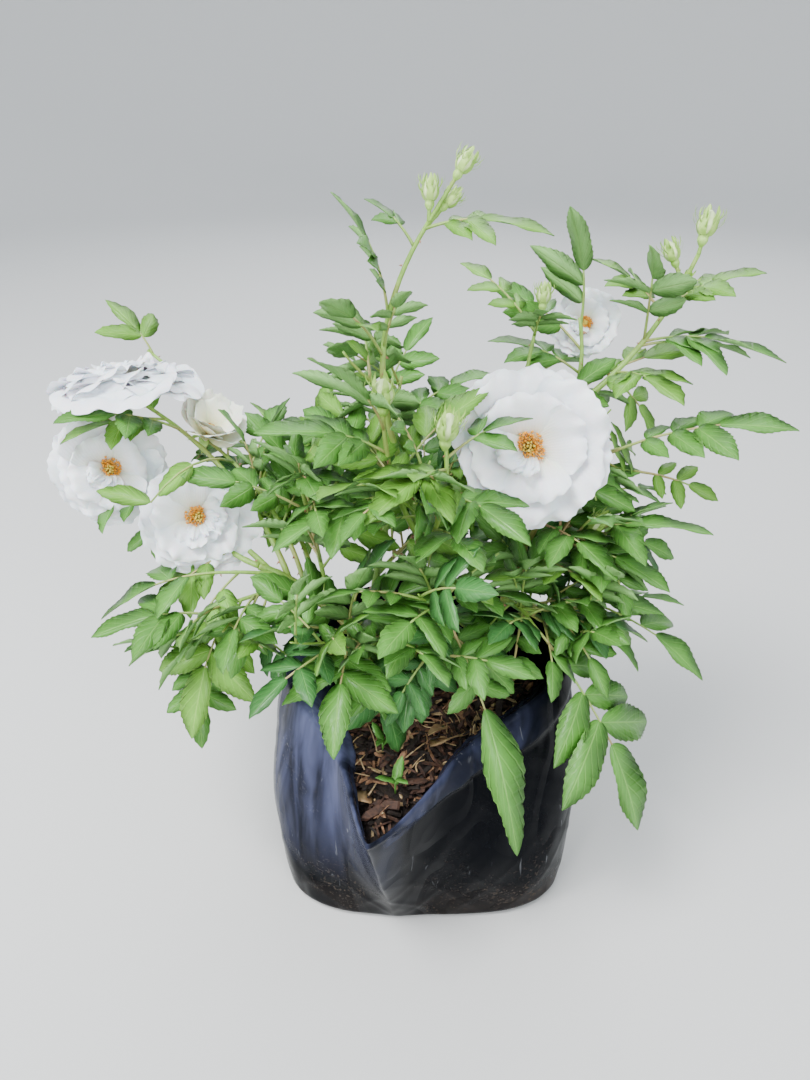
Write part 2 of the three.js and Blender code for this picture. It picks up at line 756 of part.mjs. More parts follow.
// A shoot's stem, and the stalks, buds and bloom that it carries
function shootFrame(row, curve) {
  const tipThickness = row.foot * SHOOT_TAPER;
  const stem = limbSolid(curve, row.heading, taper(row.foot, tipThickness), SHOOT_SIDES, SHOOT_STEPS);
  const ends = [];
  const stalk = (at, { heading, rise, reach }) => {
    const line = limbCurve(curve.getPoint(at), { heading, rise, length: reach, side: 0, lift: 0 });
    ends.push(limbSolid(line, heading, taper(tipThickness, tipThickness * STALK_TAPER), THREE_SIDES, 1));
    return line.getPoint(1);
  };
  for (const one of row.buds ?? []) {
    const foot = one.reach ? stalk(one.at, one) : curve.getPoint(1);
    ends.push(budSolid(foot, axes(one.heading, one.rise).along, one.width));
  }
  if (row.bloom) {
    const foot = row.sideBloom ? stalk(row.sideBloom.at, row.sideBloom) : curve.getPoint(1);
    ends.push(...bloomSolids(foot, row.bloom));
  }
  return { stem, ends };
}

function insideCrown(point) {
  return point.clone().sub(CROWN_CENTRE).divide(CROWN_REACH).length() < 1;
}

// A leaf's pieces that keep clear of everything else, or nothing where its rachis can't
function leafPieces(origin, plan, others, own) {
  const { curve, leaflets } = leafLayout(origin, plan);
  const radius = taper(RACHIS_THICKNESS, RACHIS_THICKNESS * RACHIS_TAPER);
  const rachis = limbSolid(curve, plan.heading, radius, THREE_SIDES, RACHIS_STEPS);
  if (touches(rachis, others, LEAF_GAP)) return [];
  const kept = leaflets
    .map(leafletSolid)
    .filter((solid) => !touches(solid, [...others, ...own], LEAF_GAP));
  return kept.length > 1 ? [rachis, ...kept] : [];
}

function buildShoots({ curves, solids, cutters }, holders) {
  const fixed = [...holders, ...solids.values()].map(obstacle);
  const masses = SHOOTS.map((row) => {
    const curve = limbRow(row, curves);
    const { stem, ends } = shootFrame(row, curve);
    const frame = cutBy(union([stem, ...ends]), cutters);
    return { row, curve, frame: obstacle(frame), leaves: ends.map(obstacle), ends: ends.length };
  });
  const grow = (mass, plan) => {
    const rest = masses
      .filter((other) => other !== mass)
      .flatMap((other) => [other.frame, ...other.leaves]);
    const made = leafPieces(mass.curve.getPoint(plan.at), plan, [...fixed, ...rest], mass.leaves);
    mass.leaves.push(...made.map(obstacle));
  };
  for (const mass of masses) {
    for (const plan of mass.row.leafPlan ?? []) grow(mass, plan);
  }
  const most = Math.max(...SHOOTS.map((row) => row.leaves));
  for (let index = 0; index < most; index++) {
    masses.forEach((mass, number) => {
      if (index >= mass.row.leaves) return;
      const plan = seededLeaf(mass.curve, number + 1, index, mass.row);
      const far = axes(plan.heading, plan.rise).along;
      const tip = mass.curve.getPoint(plan.at).addScaledVector(far, plan.reach + plan.leaflet);
      if (insideCrown(tip)) grow(mass, plan);
    });
  }
  return masses.map((mass) => [
    mass.row.name,
    wholeBody(union([mass.frame, ...mass.leaves.slice(mass.ends)].map((piece) => piece.solid))),
  ]);
}

function meshOf(name, solid, colour, roughness) {
  const { numProp, vertProperties, triVerts } = solid.getMesh();
  const geometry = new THREE.BufferGeometry();
  const positions = new Float32Array((vertProperties.length / numProp) * 3);
  for (let i = 0; i < positions.length / 3; i++) {
    positions.set(vertProperties.subarray(i * numProp, i * numProp + 3), i * 3);
  }
  geometry.setAttribute("position", new THREE.BufferAttribute(positions, 3));
  geometry.setIndex(new THREE.BufferAttribute(triVerts, 1));
  geometry.computeVertexNormals();
  const material = new THREE.MeshStandardMaterial({ color: colour, roughness, metalness: 0 });
  const mesh = new THREE.Mesh(geometry, material);
  mesh.name = name;
  return mesh;
}

const group = new THREE.Group();
const bag = growBag();
const medium = growingMedium();
group.add(meshOf("grow_bag", bag, FILM_BLACK, 0.35));
group.add(meshOf("medium", medium, CHIP_BROWN, 0.95));

const limbs = buildLimbs();
for (const [name, solid] of limbs.solids) {
  group.add(meshOf(name, solid, name === "trunk" ? BARK_BROWN : CANE_GREEN, 0.6));
}
for (const [name, solid] of buildShoots(limbs, [bag, medium])) {
  group.add(meshOf(name, solid, LEAF_GREEN, 0.5));
}

export default group;
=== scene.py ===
"""The looks of a white-flowered rose bush in a black nursery bag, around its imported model.

Sizes are named in millimetres, as in the part's own source, and turn into metres where a
mesh is made. The canes, shoots and leaves follow the rule of the part's source, and smaller
leaves and side twigs fill the crown between them.
"""

import json
import logging
import math
from dataclasses import dataclass, field, replace
from enum import Enum

import bpy
import numpy as np
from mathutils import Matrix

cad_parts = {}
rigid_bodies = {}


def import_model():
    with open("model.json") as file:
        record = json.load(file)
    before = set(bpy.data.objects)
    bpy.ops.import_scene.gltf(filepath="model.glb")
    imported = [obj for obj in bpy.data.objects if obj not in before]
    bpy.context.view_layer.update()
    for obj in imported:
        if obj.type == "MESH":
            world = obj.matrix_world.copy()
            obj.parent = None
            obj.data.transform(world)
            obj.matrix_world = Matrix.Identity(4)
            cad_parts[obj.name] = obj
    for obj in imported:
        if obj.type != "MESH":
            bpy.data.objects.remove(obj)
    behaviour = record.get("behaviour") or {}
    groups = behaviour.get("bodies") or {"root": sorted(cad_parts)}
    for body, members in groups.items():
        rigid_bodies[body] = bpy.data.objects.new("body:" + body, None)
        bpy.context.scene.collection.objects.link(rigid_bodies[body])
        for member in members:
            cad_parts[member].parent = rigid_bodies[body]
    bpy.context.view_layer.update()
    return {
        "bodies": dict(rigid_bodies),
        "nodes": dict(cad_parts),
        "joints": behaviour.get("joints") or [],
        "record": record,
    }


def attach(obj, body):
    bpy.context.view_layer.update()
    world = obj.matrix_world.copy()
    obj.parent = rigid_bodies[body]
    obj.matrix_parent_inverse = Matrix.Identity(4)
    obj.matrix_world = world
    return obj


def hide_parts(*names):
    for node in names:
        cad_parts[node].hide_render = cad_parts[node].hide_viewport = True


log = logging.getLogger("rose_bush")

MM = 0.001
IMAGE_WIDTH = 810
IMAGE_HEIGHT = 1080
UP = np.array([0.0, 0.0, 1.0])
GOLDEN_ANGLE = 137.5

Array = np.ndarray
Socket = bpy.types.NodeSocket
Material = bpy.types.Material
Span = tuple[float, float]
Triple = tuple[float, float, float]
Colour = Triple


# Rows of the plant's tables


@dataclass(frozen=True)
class Limb:
    """A limb's row: what it leaves and where, its chord, its bow and its thickness there."""

    name: str
    on: str
    at: float
    heading: float
    rise: float
    length: float
    side: float
    lift: float
    foot: float

    def arc(self, foot: Array) -> "Arc":
        """The limb's centre line from its foot."""
        return Arc.of_chord(foot, self.heading, self.rise, self.length, self.side, self.lift)


@dataclass(frozen=True)
class Cane(Limb):
    """A cane's row, with its thickness at the tip."""

    tip: float


@dataclass(frozen=True)
class Offshoot:
    """Where something leaves its stem, and the chord of its stalk."""

    at: float
    heading: float
    rise: float
    reach: float

    def arc(self, foot: Array, lift: float = 0) -> "Arc":
        """The stalk's centre line from its foot."""
        return Arc.of_chord(foot, self.heading, self.rise, self.reach, 0, lift)


@dataclass(frozen=True)
class LeafPlan(Offshoot):
    """One leaf: its end leaflet's length, its pairs, and how slim its leaflets are."""

    leaflet: float
    pairs: int
    slim: float = 0.46


@dataclass(frozen=True)
class BudPlan(Offshoot):
    """One stalk, and the width of the bud on its end."""

    width: float


@dataclass(frozen=True)
class BloomPlan:
    """Where a bloom faces, its radius, and how deep its dish is as a share of that."""

    heading: float
    rise: float
    radius: float
    cup: float


@dataclass(frozen=True)
class Shoot(Limb):
    """A shoot's row: its seeded leaves and their size, its planned leaves, buds and bloom."""

    leaves: int
    leaflet: float
    leaf_plan: tuple[LeafPlan, ...] = ()
    buds: tuple[BudPlan, ...] = ()
    stalk: BudPlan | None = None
    bloom: BloomPlan | None = None


@dataclass(frozen=True)
class HangingLeaflet:
    """A leaflet that is placed by itself: where on its stalk, how it lies, and its size."""

    at: float
    heading: float
    rise: float
    roll: float
    length: float
    slim: float


STOCK = Cane("trunk", "", 0, -18, 76, 27, 0, 0, 14, 10)
STOCK_FOOT = np.array([-34.0, 2.0, 124.0])
STOCK_FLARE = 6
STOCK_BOTTOM = 125.3
CANES = (
    Cane("main_cane", "trunk", 0.9, 12, 75, 91, -9, -19, 7.4, 5.4),
    Cane("upper_cane", "main_cane", 1, 166, 76, 32, 0, 0, 4.6, 3.8),
    Cane("right_cane", "main_cane", 0.97, 27, 29, 94, -4, -4, 4.6, 3.4),
    Cane("left_cane", "trunk", 0.8, 168, 43, 87, -6, 16, 5.8, 4.2),
    Cane("low_right_cane", "trunk", 0.7, 16, 37, 102, -14, -49, 5.4, 3.8),
    Cane("back_cane", "trunk", 0.75, 78, 53, 104, 15, -16, 5.4, 3.8),
)
SHOOTS = (
    Shoot(
        "top_shoot", "upper_cane", 1, 67, 75, 115, 27, 14, 3.4, 1, 24,
        leaf_plan=(
            LeafPlan(0.62, -171, 76, 36, 26, 3, 0.42), LeafPlan(0.97, -11, 12, 26, 34, 2, 0.32),
            LeafPlan(0.5, -62, 60, 26, 18, 2), LeafPlan(0.9, 160, 50, 16, 16, 1),
        ),
        buds=(BudPlan(1, 18, 55, 24, 8), BudPlan(0.97, 30, 40, 14, 7), BudPlan(1, 80, 78, 8, 8)),
    ),
    Shoot(
        "right_shoot", "right_cane", 1, 20, 48, 105, 2, -21, 3.6, 1, 30,
        leaf_plan=(
            LeafPlan(0.55, -17, 10, 30, 42, 2, 0.34), LeafPlan(0.35, -65, 14, 24, 30, 2),
            LeafPlan(0.75, -8, 34, 23, 26, 2), LeafPlan(0.2, 70, -20, 30, 28, 2),
            LeafPlan(0.7, 150, 40, 26, 24, 2),
        ),
        buds=(BudPlan(1, 45, 75, 8, 10), BudPlan(0.86, 150, 62, 12, 8), BudPlan(0.8, -90, 40, 9, 8)),
    ),
    Shoot(
        "back_right_shoot", "right_cane", 0.92, 65, 47, 64, -11, -28, 3.2, 2, 28,
        leaf_plan=(LeafPlan(0.95, -138, 84, 30, 38, 2, 0.34), LeafPlan(0.6, 150, 20, 30, 28, 2)),
        stalk=BudPlan(0.62, 78, 30, 32, 0),
        bloom=BloomPlan(-105, 30, 19, 0.45),
    ),
    Shoot(
        "back_bud_shoot", "right_cane", 0.72, 76, 53, 80, 8, -10, 2.8, 2, 26,
        leaf_plan=(LeafPlan(0.8, -90, 45, 22, 22, 2),),
        buds=(BudPlan(1, 80, 70, 0, 8),),
    ),
    Shoot(
        "right_bloom_shoot", "low_right_cane", 1, 56, 85, 65, -20, -8, 3.6, 2, 32,
        leaf_plan=(LeafPlan(0.35, -60, 10, 34, 30, 2), LeafPlan(0.5, 20, 20, 34, 30, 2)),
        bloom=BloomPlan(-99, 25, 39, 0.3),
    ),
    Shoot(
        "right_bud_shoot", "low_right_cane", 0.9, -11, 43, 55, 3, 7, 3, 1, 28,
        leaf_plan=(LeafPlan(0.85, -22, 26, 30, 40, 2, 0.36), LeafPlan(0.65, -40, 8, 34, 32, 2)),
        buds=(BudPlan(1, -20, 60, 0, 9),),
    ),
    Shoot(
        "right_leaf_shoot", "right_cane", 0.8, -14, -2, 40, -4, -4, 2.6, 0, 28,
        leaf_plan=(LeafPlan(0.95, -16, 24, 56, 36, 3, 0.42), LeafPlan(0.6, -75, -30, 28, 28, 2)),
    ),
    Shoot(
        "mid_left_bud_shoot", "main_cane", 0.92, 180, 76, 75, 6, -9, 3.2, 1, 32,
        leaf_plan=(
            LeafPlan(0.85, -134, 62, 22, 44, 1, 0.36), LeafPlan(0.7, -167, 28, 28, 38, 2, 0.4),
            LeafPlan(0.4, -162, -7, 34, 36, 2),
        ),
        buds=(BudPlan(1, -90, 88, 0, 11),),
    ),
    Shoot(
        "mid_right_bud_shoot", "main_cane", 0.84, -33, 79, 68, -3, -13, 3.2, 1, 32,
        leaf_plan=(
            LeafPlan(0.8, -130, 10, 22, 38, 2, 0.42), LeafPlan(0.6, -47, 8, 24, 32, 2),
            LeafPlan(0.88, 20, 30, 22, 26, 1),
        ),
        buds=(BudPlan(1, 0, 84, 0, 11),),
    ),
    Shoot(
        "front_shoot", "main_cane", 0.55, -62, 23, 32, -2, 1, 2.8, 0, 32,
        leaf_plan=(LeafPlan(0.9, -63, -36, 56, 74, 2, 0.29), LeafPlan(0.5, -104, -28, 40, 30, 2)),
    ),
    Shoot(
        "front_left_shoot", "left_cane", 0.25, -90, 33, 47, -2, 8, 2.8, 1, 32,
        leaf_plan=(LeafPlan(0.95, -96, -11, 27, 36, 2, 0.44), LeafPlan(0.7, -48, -46, 40, 30, 2, 0.56)),
    ),
    Shoot(
        "front_right_shoot", "low_right_cane", 0.8, -69, 11, 36, -1, 9, 2.8, 1, 30,
        leaf_plan=(LeafPlan(0.9, -43, -42, 76, 54, 3, 0.4), LeafPlan(0.6, -4, -4, 40, 34, 2, 0.5)),
    ),
    Shoot(
        "low_right_shoot", "low_right_cane", 0.6, 2, 20, 63, 5, 3, 3, 2, 30,
        leaf_plan=(LeafPlan(0.95, -27, -14, 42, 36, 2),),
    ),
    Shoot(
        "left_bloom_front", "left_cane", 1, 144, 18, 48, 5, -5, 3.4, 2, 30,
        leaf_plan=(LeafPlan(0.4, -150, -20, 30, 30, 2),),
        bloom=BloomPlan(-74, 29, 32, 0.45),
    ),
    Shoot(
        "left_bloom_mid", "left_cane", 0.93, 152, 18, 115, -21, -6, 3.4, 2, 28,
        leaf_plan=(LeafPlan(0.6, 104, 6, 28, 28, 2),),
        bloom=BloomPlan(-68, 25, 31, 0.35),
    ),
    Shoot(
        "left_bloom_back", "left_cane", 0.8, 145, 35.5, 141, -29, 4, 3.4, 2, 30,
        leaf_plan=(LeafPlan(0.82, -150, 10, 30, 30, 2),),
        bloom=BloomPlan(110, 74, 41, 0.28),
    ),
    Shoot(
        "left_cup_bloom", "left_cane", 0.68, 134, 35, 107, -14, 12, 3, 3, 28,
        leaf_plan=(LeafPlan(0.5, 20, 30, 34, 28, 2),),
        bloom=BloomPlan(-24, 58, 18, 0.9),
    ),
    Shoot(
        "low_left_shoot", "left_cane", 0.72, -154, -2, 56, 3, 8, 2.8, 1, 30,
        leaf_plan=(LeafPlan(0.95, -166, 8, 26, 34, 2, 0.44), LeafPlan(0.7, -112, -36, 36, 38, 2)),
    ),
    Shoot(
        "left_leaf_shoot", "left_cane", 0.5, 125, 68, 83, -5, -2, 3, 4, 34,
        leaf_plan=(LeafPlan(0.9, -72, 24, 28, 28, 2),),
    ),
    Shoot(
        "outer_left_shoot", "left_cane", 0.86, -167, 11, 38, 4, 5, 2.6, 0, 28,
        leaf_plan=(LeafPlan(0.9, -175, -10, 34, 38, 2), LeafPlan(0.6, -130, -26, 28, 30, 2)),
    ),
    Shoot(
        "back_left_leaf_shoot", "left_cane", 0.56, 132, 30.5, 196, -42, -12, 3, 1, 30,
        leaf_plan=(LeafPlan(0.98, 150, 55, 16, 30, 1, 0.4), LeafPlan(0.86, -141, 6, 24, 30, 1, 0.44)),
    ),
    Shoot("back_left_shoot", "back_cane", 0.75, 144, 19, 71, -7, 0, 3, 4, 34),
    Shoot("back_top_shoot", "back_cane", 1, 84, 69, 63, 6, -12, 3, 5, 34),
    Shoot("back_right_low_shoot", "back_cane", 0.85, 31, 17, 84, 6, -8, 3, 5, 34),
    Shoot("back_low_shoot", "back_cane", 0.5, 54, 5, 66, 3, 3, 3, 4, 34),
)

class Region(Enum):
    """A part of the crown, with the shoots whose leaves are joined into one piece."""

    RIGHT = (
        "right_shoot", "back_right_shoot", "right_bloom_shoot", "right_bud_shoot",
        "right_leaf_shoot", "low_right_shoot", "front_right_shoot",
    )
    MIDDLE = (
        "top_shoot", "back_bud_shoot", "mid_left_bud_shoot", "mid_right_bud_shoot", "front_shoot",
        "front_left_shoot",
    )
    LEFT = (
        "left_bloom_front", "left_bloom_mid", "left_bloom_back", "left_cup_bloom", "low_left_shoot",
        "left_leaf_shoot", "outer_left_shoot", "back_left_leaf_shoot",
    )
    BACK = (
        "back_left_shoot", "back_top_shoot", "back_right_low_shoot", "back_low_shoot",
    )


# Seeded numbers, directions and arcs


class Draws:
    """The seeded numbers of the part's source: each state is the last times 16807."""

    FACTOR = 16807
    MODULUS = 2147483647

    def __init__(self, seed: int) -> None:
        """Starts from a seed and passes over the first two numbers."""
        self.state = seed
        self.next()
        self.next()

    def next(self) -> float:
        """The next number from 0 to 1."""
        self.state = (self.state * self.FACTOR) % self.MODULUS
        return (self.state - 1) / (self.MODULUS - 1)

    def between(self, low: float, high: float) -> float:
        """The next number from low to high."""
        return low + (high - low) * self.next()


def unit(v: Array) -> Array:
    """A vector, or each vector of an array, at length one."""
    return v / np.linalg.norm(v, axis=-1, keepdims=True)


def axes(heading: float, rise: float) -> tuple[Array, Array, Array]:
    """The directions along, to the side of and above a chord.

    Args:
        heading: degrees from +X towards +Y.
        rise: degrees over level.

    Returns:
        Three unit vectors, where up is along cross side.
    """
    h, r = math.radians(heading), math.radians(rise)
    along = np.array([math.cos(r) * math.cos(h), math.cos(r) * math.sin(h), math.sin(r)])
    side = np.array([-math.sin(h), math.cos(h), 0.0])
    return along, side, np.cross(along, side)


def heading_of(v: Array) -> float:
    """The heading of a vector in degrees."""
    return math.degrees(math.atan2(v[1], v[0]))


def rise_of(v: Array) -> float:
    """The rise of a vector in degrees."""
    return math.degrees(math.asin(v[2] / np.linalg.norm(v)))


def turned(v: Array, axis: Array, degrees: float) -> Array:
    """A vector turned round a unit axis: v cos + (axis x v) sin + axis (axis.v)(1 - cos)."""
    a = math.radians(degrees)
    across = np.cross(axis, v) * math.sin(a)
    return v * math.cos(a) + across + axis * axis.dot(v) * (1 - math.cos(a))


def corner_angles(sides: int) -> Array:
    """The angles of a ring's evenly spaced corners, in radians."""
    return np.arange(sides) / sides * 2 * math.pi


def round_axis(degrees: Array, radius: Array, height: Array | float) -> Array:
    """Points round the Z axis at headings, distances and heights: (r cos a, r sin a, height)."""
    a = np.radians(degrees)
    return np.stack(np.broadcast_arrays(radius * np.cos(a), radius * np.sin(a), height), -1)


def spins(axis: int, angle: Array) -> Array:
    """One turning matrix for each angle, round the X, Y or Z axis that axis 0, 1 or 2 names."""
    i, j = (axis + 1) % 3, (axis + 2) % 3
    matrices = np.zeros((len(angle), 3, 3))
    matrices[:, axis, axis] = 1
    matrices[:, i, i] = matrices[:, j, j] = np.cos(angle)
    matrices[:, j, i] = np.sin(angle)
    matrices[:, i, j] = -np.sin(angle)
    return matrices


def tumbles(rng: np.random.Generator, many: int, tilt: float) -> Array:
    """Turning matrices, each a seeded heading round Z and two seeded small tilts.

    Args:
        rng: the seeded numbers.
        many: how many.
        tilt: the usual tilt in radians.

    Returns:
        Matrices of shape many, 3, 3, for points in rows.
    """
    heading = rng.uniform(0, 2 * math.pi, many)
    first, second = rng.normal(0, tilt, (2, many))
    return (spins(2, heading) @ spins(1, first) @ spins(0, second)).transpose(0, 2, 1)


@dataclass(frozen=True)
class Frame:
    """A place and three unit directions from it: along, to the side and up."""

    place: Array
    along: Array
    side: Array
    up: Array

    @classmethod
    def about(cls, place: Array, along: Array) -> "Frame":
        """A frame round an axis, turned the same way for each."""
        side = unit(np.cross(UP + np.array([0.1, 0, 0]), along))
        return cls(place, along, side, np.cross(along, side))

    def polar(self, turn: Array, out: Array, across: Array | float, height: Array) -> Array:
        """Points round the frame's axis.

        Args:
            turn: their angles in radians.
            out: how far out they are at that angle.
            across: how far beside it.
            height: how far along the axis.

        Returns:
            place + side (out cos - across sin) + up (out sin + across cos) + along height.
        """
        c, s = np.cos(turn), np.sin(turn)
        x, y = out * c - across * s, out * s + across * c
        flat = self.side * x[..., None] + self.up * y[..., None]
        return self.place + flat + self.along * height[..., None]


@dataclass(frozen=True)
class Arc:
    """A limb's centre line, a quadratic curve through a foot, a bend and a tip."""

    foot: Array
    bend: Array
    tip: Array
    heading: float

    @classmethod
    def of_chord(
        cls, foot: Array, heading: float, rise: float, length: float, side: float, lift: float
    ) -> "Arc":
        """The arc over a chord that bows sideways and upwards at its middle.

        Args:
            foot: where it starts.
            heading: the chord's heading in degrees.
            rise: the chord's rise in degrees.
            length: the chord's length.
            side: how far the bend lies to the side of the chord's middle.
            lift: how far it lies above that.

        Returns:
            The arc.
        """
        along, across, up = axes(heading, rise)
        tip = foot + along * length
        bend = (foot + tip) / 2 + across * side + up * lift
        return cls(foot, bend, tip, heading)

    def point(self, share: Array | float) -> Array:
        """Points at shares s of the arc: (1-s)^2 foot + 2s(1-s) bend + s^2 tip."""
        s = np.asarray(share, float)[..., None]
        return (1 - s) ** 2 * self.foot + 2 * s * (1 - s) * self.bend + s**2 * self.tip

    def tangent(self, share: Array | float) -> Array:
        """Unit directions at shares of the arc, from its slope."""
        s = np.asarray(share, float)[..., None]
        return unit((1 - s) * (self.bend - self.foot) + s * (self.tip - self.bend))

    def rings(self, radius: Array, sides: int) -> Array:
        """Circles square to the arc, one at each of the given radii, first corner on top.

        Args:
            radius: one radius for each station, evenly spaced, or one for each corner.
            sides: how many corners a circle has.

        Returns:
            Points of shape stations, sides, 3: centre + radius (across cos a + up sin a).
        """
        stations = len(radius)
        share = np.linspace(0, 1, stations)
        tangent = self.tangent(share)
        level = axes(self.heading, 0)[1]
        across = unit(level - (tangent @ level)[:, None] * tangent)
        up = np.cross(tangent, across)
        angle = math.pi / 2 + corner_angles(sides)
        reach = radius if radius.ndim == 2 else radius[:, None]
        flat = across[:, None] * np.cos(angle)[:, None] + up[:, None] * np.sin(angle)[:, None]
        return self.point(share)[:, None] + flat * reach[..., None]


# Meshes


def linked(name: str, data: bpy.types.ID) -> bpy.types.Object:
    """A new object of the scene with this mesh, light or camera."""
    made = bpy.data.objects.new(name, data)
    bpy.context.collection.objects.link(made)
    return made


class Shell:
    """A mesh in the making: grids and fans of points in millimetres, joined into one piece."""

    CUTS = np.array([[[0, 1, 2], [0, 2, 3]], [[1, 2, 3], [1, 3, 0]]])
    MAP_MIDDLE = 0.5

    def __init__(self) -> None:
        """Starts empty."""
        self.points: list[Array] = []
        self.corners: list[Array] = []
        self.totals: list[Array] = []
        self.maps: list[Array] = []
        self.slots: list[Array] = []
        self.count = 0

    def add_grids(
        self,
        grids: Array,
        wrap: bool = False,
        slots: Array | int = 0,
        caps: bool = False,
        flip: bool = False,
        tile: Span = (1.0, 1.0),
        split: bool = False,
    ) -> None:
        """Adds grids of points as skins of four-sided faces, or of triangles.

        Args:
            grids: points of shape grids, rows, columns, 3, or one grid without the first axis.
            wrap: whether the last column joins the first.
            slots: the material number, one for all, one for each grid, or grids by columns.
            caps: whether the first and last row are closed by a fan round their middle.
            flip: whether the faces turn the other way round.
            tile: how often the map repeats across the columns and along the rows.
            split: whether each face is cut in two, along diagonals that lean to and fro.
        """
        grids = grids[None] if grids.ndim == 3 else grids
        many, rows, columns, _ = grids.shape
        spans = columns if wrap else columns - 1
        i, j = np.meshgrid(np.arange(rows - 1), np.arange(spans), indexing="ij")
        k = (j + 1) % columns
        low, high = i * columns, (i + 1) * columns
        quad = np.stack([low + j, low + k, high + k, high + j], -1)
        place = np.stack([j, j + 1, j + 1, j], -1) / max(spans, 1) * tile[0]
        along = np.stack([i, i, i + 1, i + 1], -1) / (rows - 1) * tile[1]
        parts = [quad, place, along]
        if flip:
            parts = [part[..., ::-1] for part in parts]
        if split:
            cut = self.CUTS[j % 2]
            parts = [np.take_along_axis(part[..., None, :], cut, -1) for part in parts]
        size = parts[0].shape[-1]
        starts = self.count + np.arange(many) * rows * columns
        corners = parts[0].reshape(1, -1, size) + starts[:, None, None]
        maps = np.stack(parts[1:], -1).reshape(1, -1, 2)
        maps = np.broadcast_to(maps, (many, *maps.shape[1:]))
        kind = np.asarray(slots)
        kind = np.broadcast_to(kind if kind.ndim == 2 else kind.reshape(-1, 1), (many, spans))
        faces = np.repeat(kind[:, None, :], rows - 1, 1).ravel()
        self._keep(grids, corners, maps, np.repeat(faces, 2) if split else faces)
        if caps:
            self._close(grids, starts, kind[:, 0], flip)

    def _close(self, grids: Array, starts: Array, kind: Array, flip: bool) -> None:
        """Adds fans from the middle of each grid's first and last row.

        Args:
            grids: as they were added.
            starts: the number of each grid's first point.
            kind: its material number.
            flip: whether its faces turn the other way round.
        """
        many, rows, columns, _ = grids.shape
        j = np.arange(columns)
        k = (j + 1) % columns
        for row, swap in ((0, not flip), (rows - 1, flip)):
            centre = (self.count + np.arange(many))[:, None]
            first, second = (k, j) if swap else (j, k)
            edge = starts[:, None] + row * columns
            fan = np.stack(np.broadcast_arrays(centre, edge + first, edge + second), -1)
            self._keep(grids[:, row].mean(1), fan, None, np.repeat(kind, columns))

    def _keep(self, points: Array, corners: Array, maps: Array | None, slots: Array) -> None:
        """Keeps points and the faces between them.

        Args:
            points: the new points.
            corners: the numbers of each face's points, along the last axis.
            maps: each corner's place in the map, or None for the map's middle.
            slots: each face's material number.
        """
        size = corners.shape[-1]
        maps = np.full((corners.size, 2), self.MAP_MIDDLE) if maps is None else maps
        self.points.append(points.reshape(-1, 3))
        self.corners.append(corners.ravel())
        self.totals.append(np.full(corners.size // size, size))
        self.maps.append(maps.reshape(-1, 2))
        self.slots.append(slots)
        self.count += points.size // 3

    def add_blocks(self, blocks: Array, faces: Array, slots: Array | int = 0) -> None:
        """Adds many copies of one small solid, each with its own points.

        Args:
            blocks: points of shape solids, points, 3.
            faces: the triangles of one solid.
            slots: the material number of each solid, or of all.
        """
        many, points, _ = blocks.shape
        starts = self.count + np.arange(many) * points
        slots = np.repeat(np.broadcast_to(slots, (many,)), len(faces))
        self._keep(blocks, faces[None] + starts[:, None, None], None, slots)

    def add_limb(self, arc: Arc, radius: Array, sides: int, slots: int = 0) -> None:
        """Adds a closed tube along an arc, with its rings' radii and the number of its sides."""
        self.add_grids(arc.rings(radius, sides), wrap=True, slots=slots, caps=True)

    def piece(self, name: str, finishes: list[Material], smooth: bool = True) -> bpy.types.Object:
        """Makes the mesh object and lets it ride on the plant.

        Args:
            name: the piece's name.
            finishes: its materials, in the order of their numbers.
            smooth: whether its faces are shaded smooth.

        Returns:
            The new object, in metres.
        """
        mesh = bpy.data.meshes.new(name)
        points = np.concatenate(self.points) * MM
        corners = np.concatenate(self.corners)
        totals = np.concatenate(self.totals)
        mesh.vertices.add(len(points))
        mesh.vertices.foreach_set("co", points.astype(np.float32).ravel())
        mesh.loops.add(len(corners))
        mesh.loops.foreach_set("vertex_index", corners.astype(np.int32))
        mesh.polygons.add(len(totals))
        starts = np.concatenate([[0], np.cumsum(totals)[:-1]])
        mesh.polygons.foreach_set("loop_start", starts.astype(np.int32))
        mesh.polygons.foreach_set("material_index", np.concatenate(self.slots).astype(np.int32))
        mesh.polygons.foreach_set("use_smooth", np.full(len(totals), smooth))
        layer = mesh.uv_layers.new(name="UVMap")
        layer.data.foreach_set("uv", np.concatenate(self.maps).astype(np.float32).ravel())
        mesh.update(calc_edges=True)
        mesh.validate()
        for finish in finishes:
            mesh.materials.append(finish)
        made = linked(name, mesh)
        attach(made, "root")
        log.info("%s: %d triangles", name, int((totals - 2).sum()))
        return made


# Finishes


